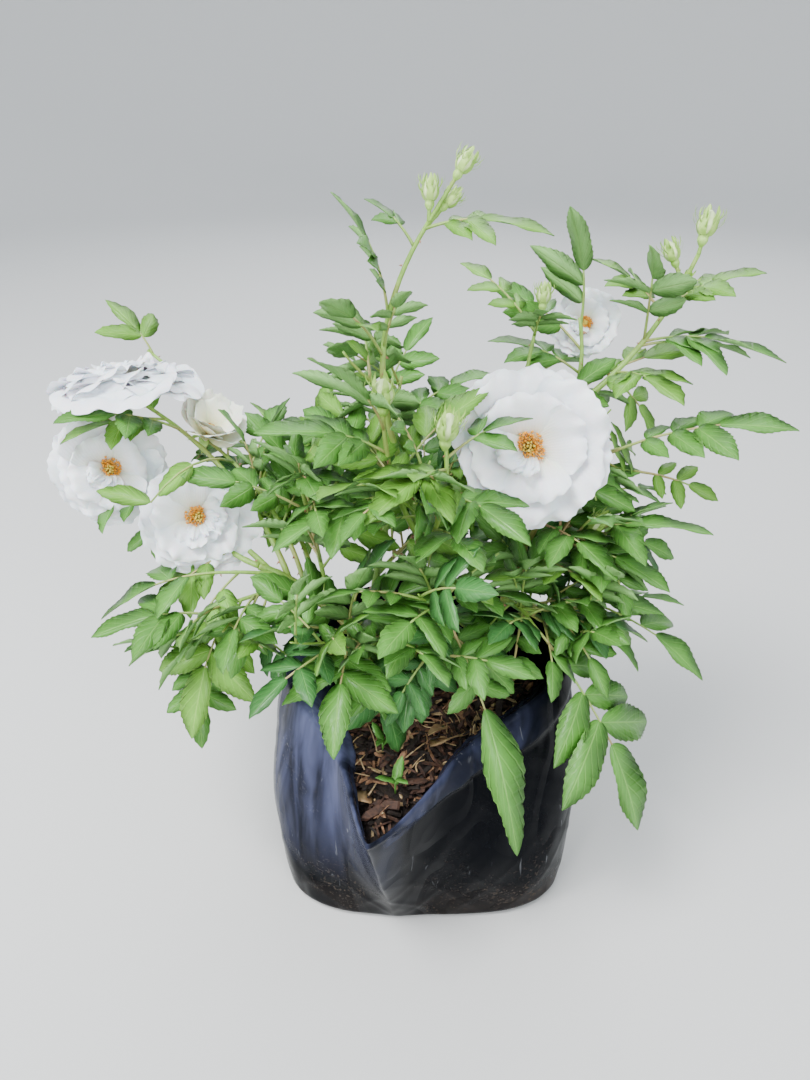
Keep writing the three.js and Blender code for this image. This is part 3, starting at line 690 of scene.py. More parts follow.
class Wiring:
    """A material's nodes, joined by short calls. The Mix node's colours go by number."""

    FIRST_COLOUR = 6
    SECOND_COLOUR = 7
    MIXED_COLOUR = 2

    def __init__(self, name: str) -> None:
        """Starts a material with its shader and output."""
        self.material = bpy.data.materials.new(name)
        self.material.use_nodes = True
        self.tree = self.material.node_tree
        self.tree.nodes.clear()
        self.shader = self.tree.nodes.new("ShaderNodeBsdfPrincipled")
        out = self.tree.nodes.new("ShaderNodeOutputMaterial")
        self.tree.links.new(self.shader.outputs[0], out.inputs[0])
        coords = self.tree.nodes.new("ShaderNodeTexCoord")
        self.place = coords.outputs["Object"]
        self.map = coords.outputs["UV"]

    def feed(self, socket: Socket, value: object) -> None:
        """Sets a socket to a number or colour, or joins it to another socket."""
        if isinstance(value, Socket):
            self.tree.links.new(value, socket)
        elif isinstance(value, tuple) and len(value) == 3 and len(socket.default_value) == 4:
            socket.default_value = (*value, 1)
        else:
            socket.default_value = value

    def node(self, kind: str, feeds: dict[str | int, object], **settings: object) -> bpy.types.Node:
        """Adds a node.

        Args:
            kind: its type, without the first word that all share.
            feeds: numbers, colours or sockets for its inputs, by name or number.
            settings: its own settings.

        Returns:
            The node.
        """
        made = self.tree.nodes.new("ShaderNode" + kind)
        for name, value in settings.items():
            setattr(made, name, value)
        for name, value in feeds.items():
            self.feed(made.inputs[name], value)
        return made

    def math(self, kind: str, *values: object) -> Socket:
        """A sum worked out by a Math node from numbers or sockets."""
        return self.node("Math", dict(enumerate(values)), operation=kind).outputs[0]

    def times(self, first: object, second: object) -> Socket:
        """Two values multiplied."""
        return self.math("MULTIPLY", first, second)

    def plus(self, first: object, second: object) -> Socket:
        """Two values added."""
        return self.math("ADD", first, second)

    def noise(self, scale: float, detail: float, warp: float = 0, spread: object = None) -> Socket:
        """Noise with this many waves a metre, or over coordinates that are already spread."""
        place = self.place if spread is None else spread
        feeds = {"Vector": place, "Scale": scale, "Detail": detail, "Distortion": warp}
        return self.node("TexNoise", feeds).outputs["Fac"]

    def streaks(self, waves: Triple, detail: float, warp: float = 0) -> Socket:
        """Noise with its own number of waves a metre along X, Y and Z."""
        spread = self.node("Mapping", {"Vector": self.place, "Scale": waves}).outputs[0]
        return self.noise(1, detail, warp, spread)

    def ramp(self, value: object, low: float, high: float) -> Socket:
        """A value stretched so that low gives 0 and high gives 1, and held there."""
        feeds = {"Value": value, "From Min": low, "From Max": high}
        return self.node("MapRange", feeds).outputs["Result"]

    def blend(self, share: object, first: object, second: object) -> Socket:
        """One colour turning into another as a share goes from 0 to 1."""
        feeds = {0: share, self.FIRST_COLOUR: first, self.SECOND_COLOUR: second}
        return self.node("Mix", feeds, data_type="RGBA").outputs[self.MIXED_COLOUR]

    def parts(self, source: Socket) -> list[Socket]:
        """The three numbers of a vector."""
        return list(self.node("SeparateXYZ", {0: source}).outputs)

    def bump(self, height: Socket, depth: float) -> None:
        """Relief of this depth in metres, over any relief already there."""
        feeds = {"Distance": depth, "Strength": 1, "Height": height}
        taken = self.shader.inputs["Normal"]
        if taken.is_linked:
            feeds["Normal"] = taken.links[0].from_socket
        self.feed(taken, self.node("Bump", feeds).outputs[0])

    def finish(self, colour: object, roughness: object, **fixed: object) -> Material:
        """Sets the shader and gives the material.

        Args:
            colour: its base colour.
            roughness: its roughness.
            fixed: numbers for other sockets, by their names with _ for a space.

        Returns:
            The finished material.
        """
        named = {"Base_Color": colour, "Roughness": roughness, **fixed}
        for name, value in named.items():
            self.feed(self.shader.inputs[name.replace("_", " ")], value)
        return self.material


def shaded(colour: Colour, share: float) -> Colour:
    """A colour made darker, or lighter where the share is over one."""
    return tuple(share * c for c in colour)


@dataclass(frozen=True)
class LeafFinish:
    """A leaf's face: its green, the green of its veins, and how glossy it is.

    The map's first number runs from 0 to 1 over the top, and on to 2 over the underside.
    """

    name: str
    green: Colour
    vein: Colour
    gloss: float
    relief: float = 0.00022
    grain: float = 0.00006
    rib_reach: float = 0.035
    margin_from: float = 0.44
    vein_waves: float = 44
    vein_slant: float = 30
    shadow: float = 0.7
    shine: float = 0.34

    def build(self) -> Material:
        """Midrib and side veins from the map: the veins run out and forward from the rib."""
        w = Wiring(self.name)
        across, along, _ = w.parts(w.map)
        off = w.math("ABSOLUTE", w.math("SUBTRACT", w.math("FRACT", across), 0.5))
        rib = w.ramp(off, self.rib_reach, 0.0)
        margin = w.times(w.ramp(off, self.margin_from, 0.5), 0.55)
        slant = w.math("SUBTRACT", w.times(along, self.vein_waves), w.times(off, self.vein_slant))
        side = w.ramp(w.math("SINE", slant), 0.72, 1.0)
        veins = w.math("MAXIMUM", rib, w.times(side, 0.4))
        pale = w.math("MAXIMUM", veins, margin)
        green = w.blend(w.ramp(w.noise(55, 2), 0.35, 0.7), shaded(self.green, self.shadow), self.green)
        w.bump(w.times(veins, -1.0), self.relief)
        w.bump(w.noise(900, 2), self.grain)
        colour = w.blend(w.times(pale, 0.6), green, self.vein)
        rough = w.plus(self.gloss, w.times(w.noise(120, 2), 0.16))
        return w.finish(colour, rough, Specular_IOR_Level=self.shine)


@dataclass(frozen=True)
class StemFinish:
    """A green stem's skin, with a second colour that comes and goes along it."""

    name: str
    green: Colour
    blush: Colour
    share: float
    roughness: float = 0.45
    relief: float = 0.0001
    waves: Triple = (900, 900, 140)
    shadow: float = 0.75

    def build(self) -> Material:
        """Broad noise for the blush and fine noise stretched along Z for the skin."""
        w = Wiring(self.name)
        patch = w.ramp(w.noise(38, 3), 0.62 - self.share * 0.5, 0.85 - self.share * 0.4)
        fibre = w.streaks(self.waves, 3)
        tone = w.blend(w.ramp(fibre, 0.3, 0.7), shaded(self.green, self.shadow), self.green)
        w.bump(fibre, self.relief)
        return w.finish(w.blend(patch, tone, self.blush), self.roughness)


@dataclass(frozen=True)
class BarkFinish:
    """The stock's rough bark: brown ridges, grey-green hollows."""

    name: str
    ridge: Colour
    hollow: Colour
    roughness: float = 0.85
    waves: Triple = (420, 420, 110)
    ridge_relief: float = 0.0009
    fine_relief: float = 0.0002
    glint: float = 1.4

    def build(self) -> Material:
        """Noise stretched along Z splits the bark into ridges and hollows."""
        w = Wiring(self.name)
        strips = w.streaks(self.waves, 5, 0.6)
        fine = w.noise(1600, 3)
        w.bump(strips, self.ridge_relief)
        w.bump(fine, self.fine_relief)
        colour = w.blend(w.ramp(strips, 0.38, 0.62), self.hollow, self.ridge)
        colour = w.blend(w.ramp(fine, 0.5, 0.8), colour, shaded(self.ridge, self.glint))
        return w.finish(colour, self.roughness)


@dataclass(frozen=True)
class PetalFinish:
    """A petal: white, cream at its foot (its own cream and painted shade), faint veins fanning from
    there.
    """

    name: str
    white: Colour
    foot: Colour
    # how far the cream reaches from the foot: the petal's own cream, spread on as painted shade between
    # the layers
    foot_reach: float = 0.62
    roughness: float = 0.5
    vein_waves: float = 130
    vein_relief: float = 0.00005
    crumple_relief: float = 0.0003
    shadow: float = 0.95
    glow: float = 0.25
    glow_depth: float = 0.003

    def build(self) -> Material:
        """The map's second number runs from the petal's foot to its rim."""
        w = Wiring(self.name)
        across, along, _ = w.parts(w.map)
        veins = w.math("SINE", w.times(across, self.vein_waves))
        crumple = w.noise(190, 4)
        w.bump(w.times(veins, w.ramp(along, 1.0, 0.2)), self.vein_relief)
        w.bump(crumple, self.crumple_relief)
        shade = w.blend(w.ramp(crumple, 0.3, 0.75), shaded(self.white, self.shadow), self.white)
        # cream at the foot: partly the petal's own colour, partly painted shade deep in the bloom
        colour = w.blend(w.ramp(along, self.foot_reach, 0.02), shade, self.foot)
        glow = {"Subsurface_Weight": self.glow, "Subsurface_Scale": self.glow_depth}
        return w.finish(colour, self.roughness, **glow)


@dataclass(frozen=True)
class GrainFinish:
    """A small dry or waxy thing: one colour, a darker one in its grain, and relief."""

    name: str
    colour: Colour
    dark: Colour
    roughness: float = 0.8
    scale: float = 500
    relief: float = 0.0003

    def build(self) -> Material:
        """Noise mixes the two colours and gives the relief."""
        w = Wiring(self.name)
        grain = w.noise(self.scale, 4)
        w.bump(grain, self.relief)
        return w.finish(w.blend(w.ramp(grain, 0.35, 0.65), self.dark, self.colour), self.roughness)


@dataclass(frozen=True)
class FilmFinish:
    """Black film: soft sheen, fine crinkles, dust low down, rubbed creases and a painted blue sheen.

    The painted sheen is a blue reflection painted into the colour. It lies on the left front, in
    streaks that run up and down, and thinly on the hem to the right of the spout as a painted
    highlight band, which the map's numbers round the rim and up the wall find. A pair of places
    is where a finish starts and where it is full, in metres or by the map.
    """

    name: str
    black: Colour = (0.0014, 0.0018, 0.0028)
    dust: Colour = (0.11, 0.082, 0.062)
    scuff: Colour = (0.26, 0.27, 0.29)
    # bloom: the colour of the painted sheen, a blue reflection painted onto the film
    bloom: Colour = (0.115, 0.13, 0.245)
    sheen: Colour = (0.8, 0.87, 1.0)
    shine: float = 0.035
    roughness: Span = (0.1, 0.26)
    crinkle_relief: float = 0.002
    fold_relief: float = 0.006
    fold_width: float = 0.09
    dust_height: Span = (0.055, 0.0)
    dust_everywhere: float = 0.1
    dust_smear: float = 0.16
    dust_roughness: float = 0.5
    scuff_strength: float = 0.4
    # where the painted sheen lies on the left front, and how strong it is
    painted_sheen_side: Span = (-0.012, -0.055)
    painted_sheen_depth: Span = (0.01, -0.03)
    painted_sheen_height: Span = (0.03, 0.13)
    painted_sheen_strength: Span = (0.12, 0.75)
    # where the painted highlight band lies on the hem, and how strong it is
    hem_edge: Span = (2.79, 2.87)
    hem_front: Span = (0.03, 0.1)
    hem_fade: Span = (1.9, 1.1)
    hem_least: float = 0.35
    hem_painted_sheen: float = 0.25

    def build(self) -> Material:
        """Noise gives the crinkles, and dust, rubbed lines and a painted blue sheen are blended over
        black.
        """
        w = Wiring(self.name)
        self._relief(w)
        dust = self._dust(w)
        lines = w.ramp(w.streaks((260, 260, 40), 3, 0.8), 0.66, 0.74)
        rubbed = w.times(lines, w.ramp(w.noise(24, 2), 0.46, 0.62))
        # bloom: the painted sheen, a blue reflection painted on the left front and on the hem
        bloom = w.math("MAXIMUM", self._front_painted_sheen(w), self._hem_painted_sheen(w))
        colour = w.blend(dust, w.blend(bloom, self.black, self.bloom), self.dust)
        colour = w.blend(w.times(rubbed, self.scuff_strength), colour, self.scuff)
        least, more = self.roughness
        rough = w.plus(least, w.times(w.noise(40, 2), more))
        rough = w.plus(rough, w.times(dust, self.dust_roughness))
        return w.finish(colour, rough, Specular_IOR_Level=self.shine, Specular_Tint=self.sheen)

    def _relief(self, w: Wiring) -> None:
        """Soft crinkles, and sharper folds where a second noise crosses its middle."""
        crinkle = w.streaks((36, 36, 15), 1, 0.6)
        fold = w.math("ABSOLUTE", w.math("SUBTRACT", w.streaks((30, 30, 12), 1, 0.3), 0.5))
        w.bump(crinkle, self.crinkle_relief)
        w.bump(w.math("MINIMUM", fold, self.fold_width), self.fold_relief)

    def _dust(self, w: Wiring) -> Socket:
        """Specks in patches, thick low down and thin above, and smears low down."""
        height = w.parts(w.place)[2]
        low = w.ramp(height, *self.dust_height)
        speck = w.ramp(w.noise(520, 6), 0.56, 0.72)
        patch = w.ramp(w.noise(26, 4), 0.44, 0.64)
        smear = w.times(low, w.ramp(w.streaks((16, 16, 40), 4), 0.4, 0.72))
        more = 1 - self.dust_everywhere
        spread = w.times(patch, w.plus(self.dust_everywhere, w.times(low, more)))
        return w.plus(w.times(speck, spread), w.times(smear, self.dust_smear))

    def _front_painted_sheen(self, w: Wiring) -> Socket:
        """The painted sheen on the left front, a blue reflection painted higher up, in streaks."""
        side, depth, height = w.parts(w.place)
        left = w.times(w.ramp(side, *self.painted_sheen_side), w.ramp(depth, *self.painted_sheen_depth))
        high = w.times(left, w.ramp(height, *self.painted_sheen_height))
        streak = w.ramp(w.streaks((75, 75, 9), 3, 0.5), 0.36, 0.66)
        least, more = self.painted_sheen_strength
        return w.times(high, w.plus(least, w.times(streak, more)))

    def _hem_painted_sheen(self, w: Wiring) -> Socket:
        """The thin painted sheen on the hem, a painted highlight band, in patches."""
        around, up, _ = w.parts(w.map)
        ends = w.times(w.ramp(around, *self.hem_front), w.ramp(around, *self.hem_fade))
        hem = w.times(ends, w.ramp(up, *self.hem_edge))
        patch = w.ramp(w.streaks((70, 30, 30), 3, 0.6), 0.42, 0.66)
        return w.times(hem, w.times(w.plus(self.hem_least, patch), self.hem_painted_sheen))


@dataclass(frozen=True)
class FloorFinish:
    """The studio's pale floor."""

    name: str = "studio_floor"
    grey: Colour = (0.62, 0.62, 0.61)
    roughness: float = 0.95
    shine: float = 0.1

    def build(self) -> Material:
        """A plain pale grey."""
        return Wiring(self.name).finish(self.grey, self.roughness, Specular_IOR_Level=self.shine)


LEAF_TOPS = (
    LeafFinish("leaf_deep", (0.057, 0.212, 0.048), (0.17, 0.39, 0.1), 0.24),
    LeafFinish("leaf_green", (0.108, 0.32, 0.048), (0.25, 0.49, 0.11), 0.26),
    LeafFinish("leaf_fresh", (0.172, 0.425, 0.05), (0.34, 0.6, 0.12), 0.29),
    LeafFinish("leaf_young", (0.28, 0.56, 0.065), (0.46, 0.7, 0.16), 0.32),
)
LEAF_UNDER = LeafFinish("leaf_under", (0.18, 0.39, 0.105), (0.3, 0.5, 0.16), 0.5, 0.0003)
STEM_SKIN = StemFinish("stem_skin", (0.26, 0.47, 0.07), (0.36, 0.3, 0.1), 0.25)
CANE_SKIN = StemFinish("cane_skin", (0.2, 0.38, 0.06), (0.3, 0.19, 0.07), 0.35)
RACHIS_SKIN = StemFinish("rachis_skin", (0.3, 0.48, 0.1), (0.46, 0.3, 0.15), 0.35)
PRICKLE_SKIN = GrainFinish("prickle_skin", (0.42, 0.22, 0.12), (0.3, 0.14, 0.08), 0.5)
STOCK_BARK = BarkFinish("stock_bark", (0.16, 0.11, 0.06), (0.075, 0.07, 0.035))
WHITE_PETAL = PetalFinish("white_petal", (0.925, 0.945, 1.0), (0.93, 0.89, 0.64))
CREAM_PETAL = PetalFinish("cream_petal", (0.93, 0.93, 0.82), (0.9, 0.87, 0.52), 0.8)
ANTHER = GrainFinish("anther", (0.9, 0.4, 0.02), (0.68, 0.24, 0.01), 0.6, 1800, 0.0001)
FILAMENT = GrainFinish("filament", (0.9, 0.55, 0.05), (0.75, 0.36, 0.03), 0.5, 900, 0.0001)
STIGMA = GrainFinish("stigma", (0.88, 0.68, 0.12), (0.7, 0.5, 0.05), 0.5, 900, 0.0001)
CALYX_GREEN = GrainFinish("calyx_green", (0.42, 0.66, 0.16), (0.28, 0.5, 0.08), 0.42, 260, 0.0002)
SEPAL_GREEN = GrainFinish("sepal_green", (0.46, 0.68, 0.17), (0.3, 0.52, 0.09), 0.45, 260, 0.0002)
BUD_WHITE = GrainFinish("bud_white", (0.72, 0.84, 0.46), (0.6, 0.76, 0.32), 0.45, 160, 0.0002)
CHIPS = (
    GrainFinish("chip_red_brown", (0.085, 0.038, 0.022), (0.032, 0.015, 0.01), 0.8),
    GrainFinish("chip_dark", (0.028, 0.017, 0.012), (0.012, 0.008, 0.006), 0.85),
    GrainFinish("chip_tan", (0.31, 0.17, 0.09), (0.15, 0.07, 0.035), 0.8),
    GrainFinish("chip_straw", (0.5, 0.37, 0.2), (0.33, 0.21, 0.1), 0.75),
)
EARTH = GrainFinish("dark_earth", (0.028, 0.017, 0.012), (0.01, 0.007, 0.006), 0.95, 260, 0.003)
DRY_LEAF = GrainFinish("dry_leaf", (0.45, 0.3, 0.15), (0.28, 0.15, 0.07), 0.7, 220, 0.0006)


# The plant's rule


@dataclass(frozen=True)
class Leaflet:
    """One leaflet's base, its three directions, its length and width."""

    base: Array
    along: Array
    up: Array
    length: float
    width: float

    CURL = 0.12

    def tip(self) -> Array:
        """The leaflet's tip: its length out along it and its curl down."""
        return self.base + self.along * self.length - self.up * self.CURL * self.length

    def rolled(self, degrees: float) -> "Leaflet":
        """The same leaflet turned round its own length."""
        return replace(self, up=turned(self.up, self.along, degrees))


@dataclass(frozen=True)
class Leaf:
    """One leaf: the arc of its rachis, its leaflets and the green that it has."""

    arc: Arc
    leaflets: tuple[Leaflet, ...]
    tone: int


@dataclass(frozen=True)
class LeafRule:
    """How the leaflets of one leaf lie along its rachis, as in the part's source."""

    bow: float = 0.09
    spread: float = 60
    nod: float = 0.1
    stagger: float = 0.7
    places: dict[int, tuple[float, ...]] = field(
        default_factory=lambda: {1: (0.78,), 2: (0.44, 0.76), 3: (0.36, 0.6, 0.82)}
    )
    sizes: tuple[float, ...] = (0.92, 0.78, 0.62)
    first: float = 0.22
    last: float = 0.97
    slack: float = 0.4
    turn_by_shoot: float = 60
    turn_slack: float = 30
    lean: float = 58
    lift: float = 0.4
    reach: Span = (1.1, 1.5)
    leaflet: Span = (0.8, 1.1)
    pairs: int = 2

    def layout(self, origin: Array, plan: LeafPlan, roll: float = 0) -> tuple[Arc, list[Leaflet]]:
        """Where one leaf's rachis runs, and its leaflets: the end one first, then the pairs.

        Args:
            origin: where it leaves its stem.
            plan: its row.
            roll: how far it is turned round its chord, in degrees.

        Returns:
            The rachis's arc and the leaflets.
        """
        arc = plan.arc(origin, plan.reach * self.bow)
        chord, level, _ = axes(plan.heading, plan.rise)
        side = turned(level, chord, roll) if roll else level
        step = self.stagger / plan.reach
        rows = [(1 - step, 0.0, plan.leaflet)]
        for i, at in enumerate(self.places[plan.pairs]):
            length = plan.leaflet * self.sizes[plan.pairs - 1 - i]
            rows += [(at + step, self.spread, length), (at - step, -self.spread, length)]
        made = []
        for at, turn, length in rows:
            a = math.radians(turn)
            tangent = arc.tangent(at)
            up = unit(np.cross(tangent, side))
            along = unit(tangent * math.cos(a) + side * math.sin(a) - up * self.nod)
            up = unit(up - along * up.dot(along))
            made.append(Leaflet(arc.point(at), along, up, length, length * plan.slim))
        return arc, made

    def seeded(self, arc: Arc, number: int, index: int, leaves: int, leaflet: float) -> LeafPlan:
        """A seeded leaf's row: a golden angle on from the last, leaning off its stem.

        Args:
            arc: the stem.
            number: the shoot's number, from 1.
            index: the leaf's number on it, from 0.
            leaves: how many share the stem.
            leaflet: the usual length of the end leaflet.

        Returns:
            The leaf's row.
        """
        draw = Draws(number * 97 + index * 13 + 5)
        place = index % leaves + 0.5 + self.slack * (draw.next() - 0.5)
        at = self.first + (self.last - self.first) * place / leaves
        stem = arc.tangent(at)
        turn = index * GOLDEN_ANGLE + self.turn_by_shoot * number
        turn += self.turn_slack * (draw.next() - 0.5)
        across = turned(unit(np.cross(UP, stem)), stem, turn)
        lean = math.radians(self.lean)
        along = stem * math.cos(lean) + across * math.sin(lean)
        along = unit(along + UP * self.lift * draw.next())
        reach = leaflet * draw.between(*self.reach)
        size = leaflet * draw.between(*self.leaflet)
        return LeafPlan(at, heading_of(along), rise_of(along), reach, size, self.pairs)


@dataclass(frozen=True)
class Bloom(Frame):
    """A bloom: its frame from the middle of its dish, its radius and its depth."""

    radius: float
    cup: float


@dataclass(frozen=True)
class Bud:
    """A bud: its frame from its foot, and its width."""

    frame: Frame
    width: float


@dataclass
class Growth:
    """All that grows on one shoot. Each stem has its thickness at foot and tip."""

    row: Shoot
    arc: Arc
    stems: list[tuple[Arc, float, float]] = field(default_factory=list)
    leaves: list[Leaf] = field(default_factory=list)
    buds: list[Bud] = field(default_factory=list)
    bloom: Bloom | None = None


@dataclass(frozen=True)
class View:
    """The photograph's view, and how full each part of it may grow with added leaves."""

    place: Triple = (-12, -353, 450)
    pitch_down: float = 32
    focal: float = 812
    windows: tuple[tuple[float, float, float, float, float], ...] = (
        (340, 690, 600, 930, 0.0),
        (270, 700, 345, 860, 0.0),
        (0, 0, 810, 335, 0.05),
        (0, 335, 270, 620, 0.2),
        (270, 335, 470, 420, 0.12),
        (270, 420, 470, 470, 0.5),
        (470, 335, 810, 450, 0.2),
        (640, 450, 810, 800, 0.3),
        (100, 730, 300, 900, 0.2),
    )

    def pixels(self, point: Array) -> Span:
        """Where a point falls in the picture: its offset square to the view over its depth."""
        pitch = math.radians(self.pitch_down)
        off = point - np.array(self.place)
        depth = off[1] * math.cos(pitch) - off[2] * math.sin(pitch)
        above = off[1] * math.sin(pitch) + off[2] * math.cos(pitch)
        x = IMAGE_WIDTH / 2 + self.focal * off[0] / depth
        return x, IMAGE_HEIGHT / 2 - self.focal * above / depth

    def fullness(self, point: Array) -> float:
        """The chance of an added leaf here: that of the sparsest window that holds it."""
        x, y = self.pixels(point)
        held = [w[4] for w in self.windows if w[0] <= x < w[2] and w[1] <= y < w[3]]
        return min(held, default=1.0)


VIEW = View()


@dataclass
class Bush:
    """The whole plant worked out from its tables, with the leaves that its solids kept."""

    rule: LeafRule = field(default_factory=LeafRule)
    shoot_taper: float = 0.6
    stalk_taper: float = 0.8
    heart_height: float = 4.5
    found_within: float = 0.35
    crown_centre: Triple = (-5, 15, 240)
    crown_reach: Triple = (196, 132, 172)
    extra_leaves: int = 9
    extra_share: float = 0.88
    long_leaflet: float = 60
    small_pair: Span = (0.3, 0.48)
    most_roll: float = 55
    planned_roll: float = 14
    seeded_roll: float = 38
    roll_slack: float = 0.3
    least_leaflets: int = 3
    twigs_a_shoot: int = 3
    twig_leaves: int = 4
    twig_length: Span = (26, 44)
    twig_droop: float = 0.1
    twig_leaf_share: float = 0.86
    twig_thickness: Span = (0.55, 0.32)
    first_extra: int = 40
    first_twig: int = 70
    first_on_twig: int = 100
    leaf_heights: Span = (190, 380)
    leaf_reach: float = 260
    tone_level: float = 0.7
    tone_by_height: float = 1.1
    tone_by_reach: float = 0.7
    tone_slack: float = 1.6
    front_stem: str = "left_cup_bloom"
    front_from: float = 0.8
    front_bend: Triple = (-118, 15, 275)
    front_tip: Triple = (-142, 9.4, 246.2)
    front_rows: tuple[HangingLeaflet, ...] = (
        HangingLeaflet(1, 172, 12, -35, 30, 0.36),
        HangingLeaflet(0.5, -156, -32, -35, 25, 0.5),
    )
    front_tone: int = 2
    clear_of_leaflets: float = 6.5
    clear_of_canes: float = 5
    clear_behind_bloom: float = 6
    clear_before_bloom: float = 90
    clear_beside_bloom: Span = (1.12, 3)
    arcs: dict[str, Arc] = field(default_factory=dict)
    growths: list[Growth] = field(default_factory=list)
    middles: Array = field(init=False)
    limbs: Array = field(init=False)

    def grow(self, nodes: dict[str, bpy.types.Object]) -> None:
        """Works out canes, shoots, kept leaves, and then the smaller leaves between.

        Args:
            nodes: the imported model's nodes, in which a kept leaflet's tip is found.
        """
        self.arcs["trunk"] = STOCK.arc(STOCK_FOOT)
        for row in CANES:
            self.arcs[row.name] = row.arc(self.arcs[row.on].point(row.at))
        for number, row in enumerate(SHOOTS, 1):
            self.growths.append(self._shoot(row, number, nodes[row.name]))
        own = [blade for g in self.growths for leaf in g.leaves for blade in leaf.leaflets]
        self.middles = np.array([self._middle(blade) for blade in own])
        self.limbs = np.concatenate([a.point(np.linspace(0, 1, 14)) for a in self.arcs.values()])
        for number, growth in enumerate(self.growths, 1):
            self._fill(growth, number)
        self._front_leaf()

    @staticmethod
    def _middle(leaflet: Leaflet) -> Array:
        """A leaflet's middle."""
        return (leaflet.base + leaflet.tip()) / 2

    def _shoot(self, row: Shoot, number: int, node: bpy.types.Object) -> Growth:
        """One shoot with its stalks, buds, bloom and the leaves that its solid kept.

        Args:
            row: its row.
            number: its number, from 1.
            node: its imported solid.

        Returns:
            What grows on it.
        """
        arc = row.arc(self.arcs[row.on].point(row.at))
        growth = Growth(row, arc)
        thick = row.foot * self.shoot_taper
        growth.stems.append((arc, row.foot, thick))
        for plan in row.buds:
            foot = self._stalk(growth, plan, thick) if plan.reach else arc.tip
            along = axes(plan.heading, plan.rise)[0]
            growth.buds.append(Bud(Frame.about(foot, along), plan.width))
        if row.bloom:
            foot = self._stalk(growth, row.stalk, thick) if row.stalk else arc.tip
            along, side, up = axes(row.bloom.heading, row.bloom.rise)
            place = foot + along * self.heart_height
            growth.bloom = Bloom(place, along, side, up, row.bloom.radius, row.bloom.cup)
        self._keep_leaves(growth, number, node)
        return growth

    def _keep_leaves(self, growth: Growth, number: int, node: bpy.types.Object) -> None:
        """Adds a shoot's own leaves, with each leaflet whose tip is a corner of its solid.

        Args:
            growth: what grows on the shoot.
            number: the shoot's number, from 1.
            node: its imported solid.
        """
        row, arc = growth.row, growth.arc
        corners = np.empty(len(node.data.vertices) * 3, np.float32)
        node.data.vertices.foreach_get("co", corners)
        corners = corners.reshape(-1, 3) / MM
        seeded = range(row.leaves)
        plans = list(row.leaf_plan)
        plans += [self.rule.seeded(arc, number, i, row.leaves, row.leaflet) for i in seeded]
        for index, plan in enumerate(plans):
            line, leaflets = self.rule.layout(arc.point(plan.at), plan)
            near = [np.linalg.norm(corners - one.tip(), axis=1).min() for one in leaflets]
            kept = [one for one, gap in zip(leaflets, near) if gap < self.found_within]
            if plan.leaflet > self.long_leaflet:
                kept = [kept[0], *(self._shrunk(one) for one in kept[1:])]
            most = self.planned_roll if index < len(row.leaf_plan) else self.seeded_roll
            kept = self._rolled(kept, number * 61 + index, most)
            if len(kept) > 1:
                tone = self._tone(line.tip, number * 31 + index)
                growth.leaves.append(Leaf(line, tuple(kept), tone))

    def _rolled(self, leaflets: list[Leaflet], seed: int, most: float) -> list[Leaflet]:
        """One leaf's leaflets, all turned by a seeded share of most and each a little more."""
        draw = Draws(seed * 19 + 1)
        turn, slack = most * draw.between(-1, 1), most * self.roll_slack
        return [one.rolled(turn + slack * draw.between(-1, 1)) for one in leaflets]

    def _front_leaf(self) -> None:
        """A leaf of the scene alone, which hangs before the two lower blooms on the left."""
        growth = next(g for g in self.growths if g.row.name == self.front_stem)
        foot, tip = growth.arc.point(self.front_from), np.array(self.front_tip)
        arc = Arc(foot, np.array(self.front_bend), tip, heading_of(tip - foot))
        leaflets = []
        for row in self.front_rows:
            along, _, up = axes(row.heading, row.rise)
            blade = Leaflet(arc.point(row.at), along, up, row.length, row.length * row.slim)
            leaflets.append(blade.rolled(row.roll))
        growth.leaves.append(Leaf(arc, tuple(leaflets), self.front_tone))

    def _shrunk(self, leaflet: Leaflet) -> Leaflet:
        """A side leaflet beside a long end leaflet, which stays short and a little broader."""
        length, width = self.small_pair
        return replace(leaflet, length=leaflet.length * length, width=leaflet.width * width)

    def _stalk(self, growth: Growth, plan: BudPlan, thick: float) -> Array:
        """Adds a stalk and gives its end."""
        arc = plan.arc(growth.arc.point(plan.at))
        growth.stems.append((arc, thick, thick * self.stalk_taper))
        return arc.tip

    def _tone(self, tip: Array, seed: int) -> int:
        """A leaf's green: fresher high up and far out, with a seeded step either way."""
        low, top = self.leaf_heights
        high = (tip[2] - low) / (top - low)
        out = abs(tip[0]) / self.leaf_reach
        level = self.tone_level + self.tone_by_height * high + self.tone_by_reach * out
        level += self.tone_slack * (Draws(seed * 7 + 3).next() - 0.5)
        return int(np.clip(round(level), 0, len(LEAF_TOPS) - 1))

    def _fill(self, growth: Growth, number: int) -> None:
        """Adds smaller leaves to a shoot, and side twigs with leaves of their own.

        Args:
            growth: what grows on the shoot.
            number: the shoot's number, from 1.
        """
        foot = growth.row.foot
        size = growth.row.leaflet * self.extra_share
        extra, seeded = self.extra_leaves, self.rule.seeded
        for index in range(extra):
            plan = seeded(growth.arc, number, self.first_extra + index, extra, size)
            self._try_leaf(growth, growth.arc, plan, number * 53 + index)
        for twig in range(self.twigs_a_shoot):
            draw = Draws(number * 211 + twig * 17 + 9)
            place = self.first_twig + twig * 3
            plan = seeded(growth.arc, number, place, self.twigs_a_shoot * 3, size)
            length = draw.between(*self.twig_length)
            twig_plan = replace(plan, reach=length)
            arc = twig_plan.arc(growth.arc.point(plan.at), -length * self.twig_droop)
            if not self._open(arc.point(np.array([0.5, 1.0]))):
                continue
            before = len(growth.leaves)
            for index in range(self.twig_leaves):
                order, small = self.first_on_twig + index, size * self.twig_leaf_share
                one = seeded(arc, number + 30 * twig, order, self.twig_leaves, small)
                self._try_leaf(growth, arc, one, number * 400 + twig * 20 + index)
            if len(growth.leaves) > before:
                growth.stems.append((arc, *(foot * share for share in self.twig_thickness)))

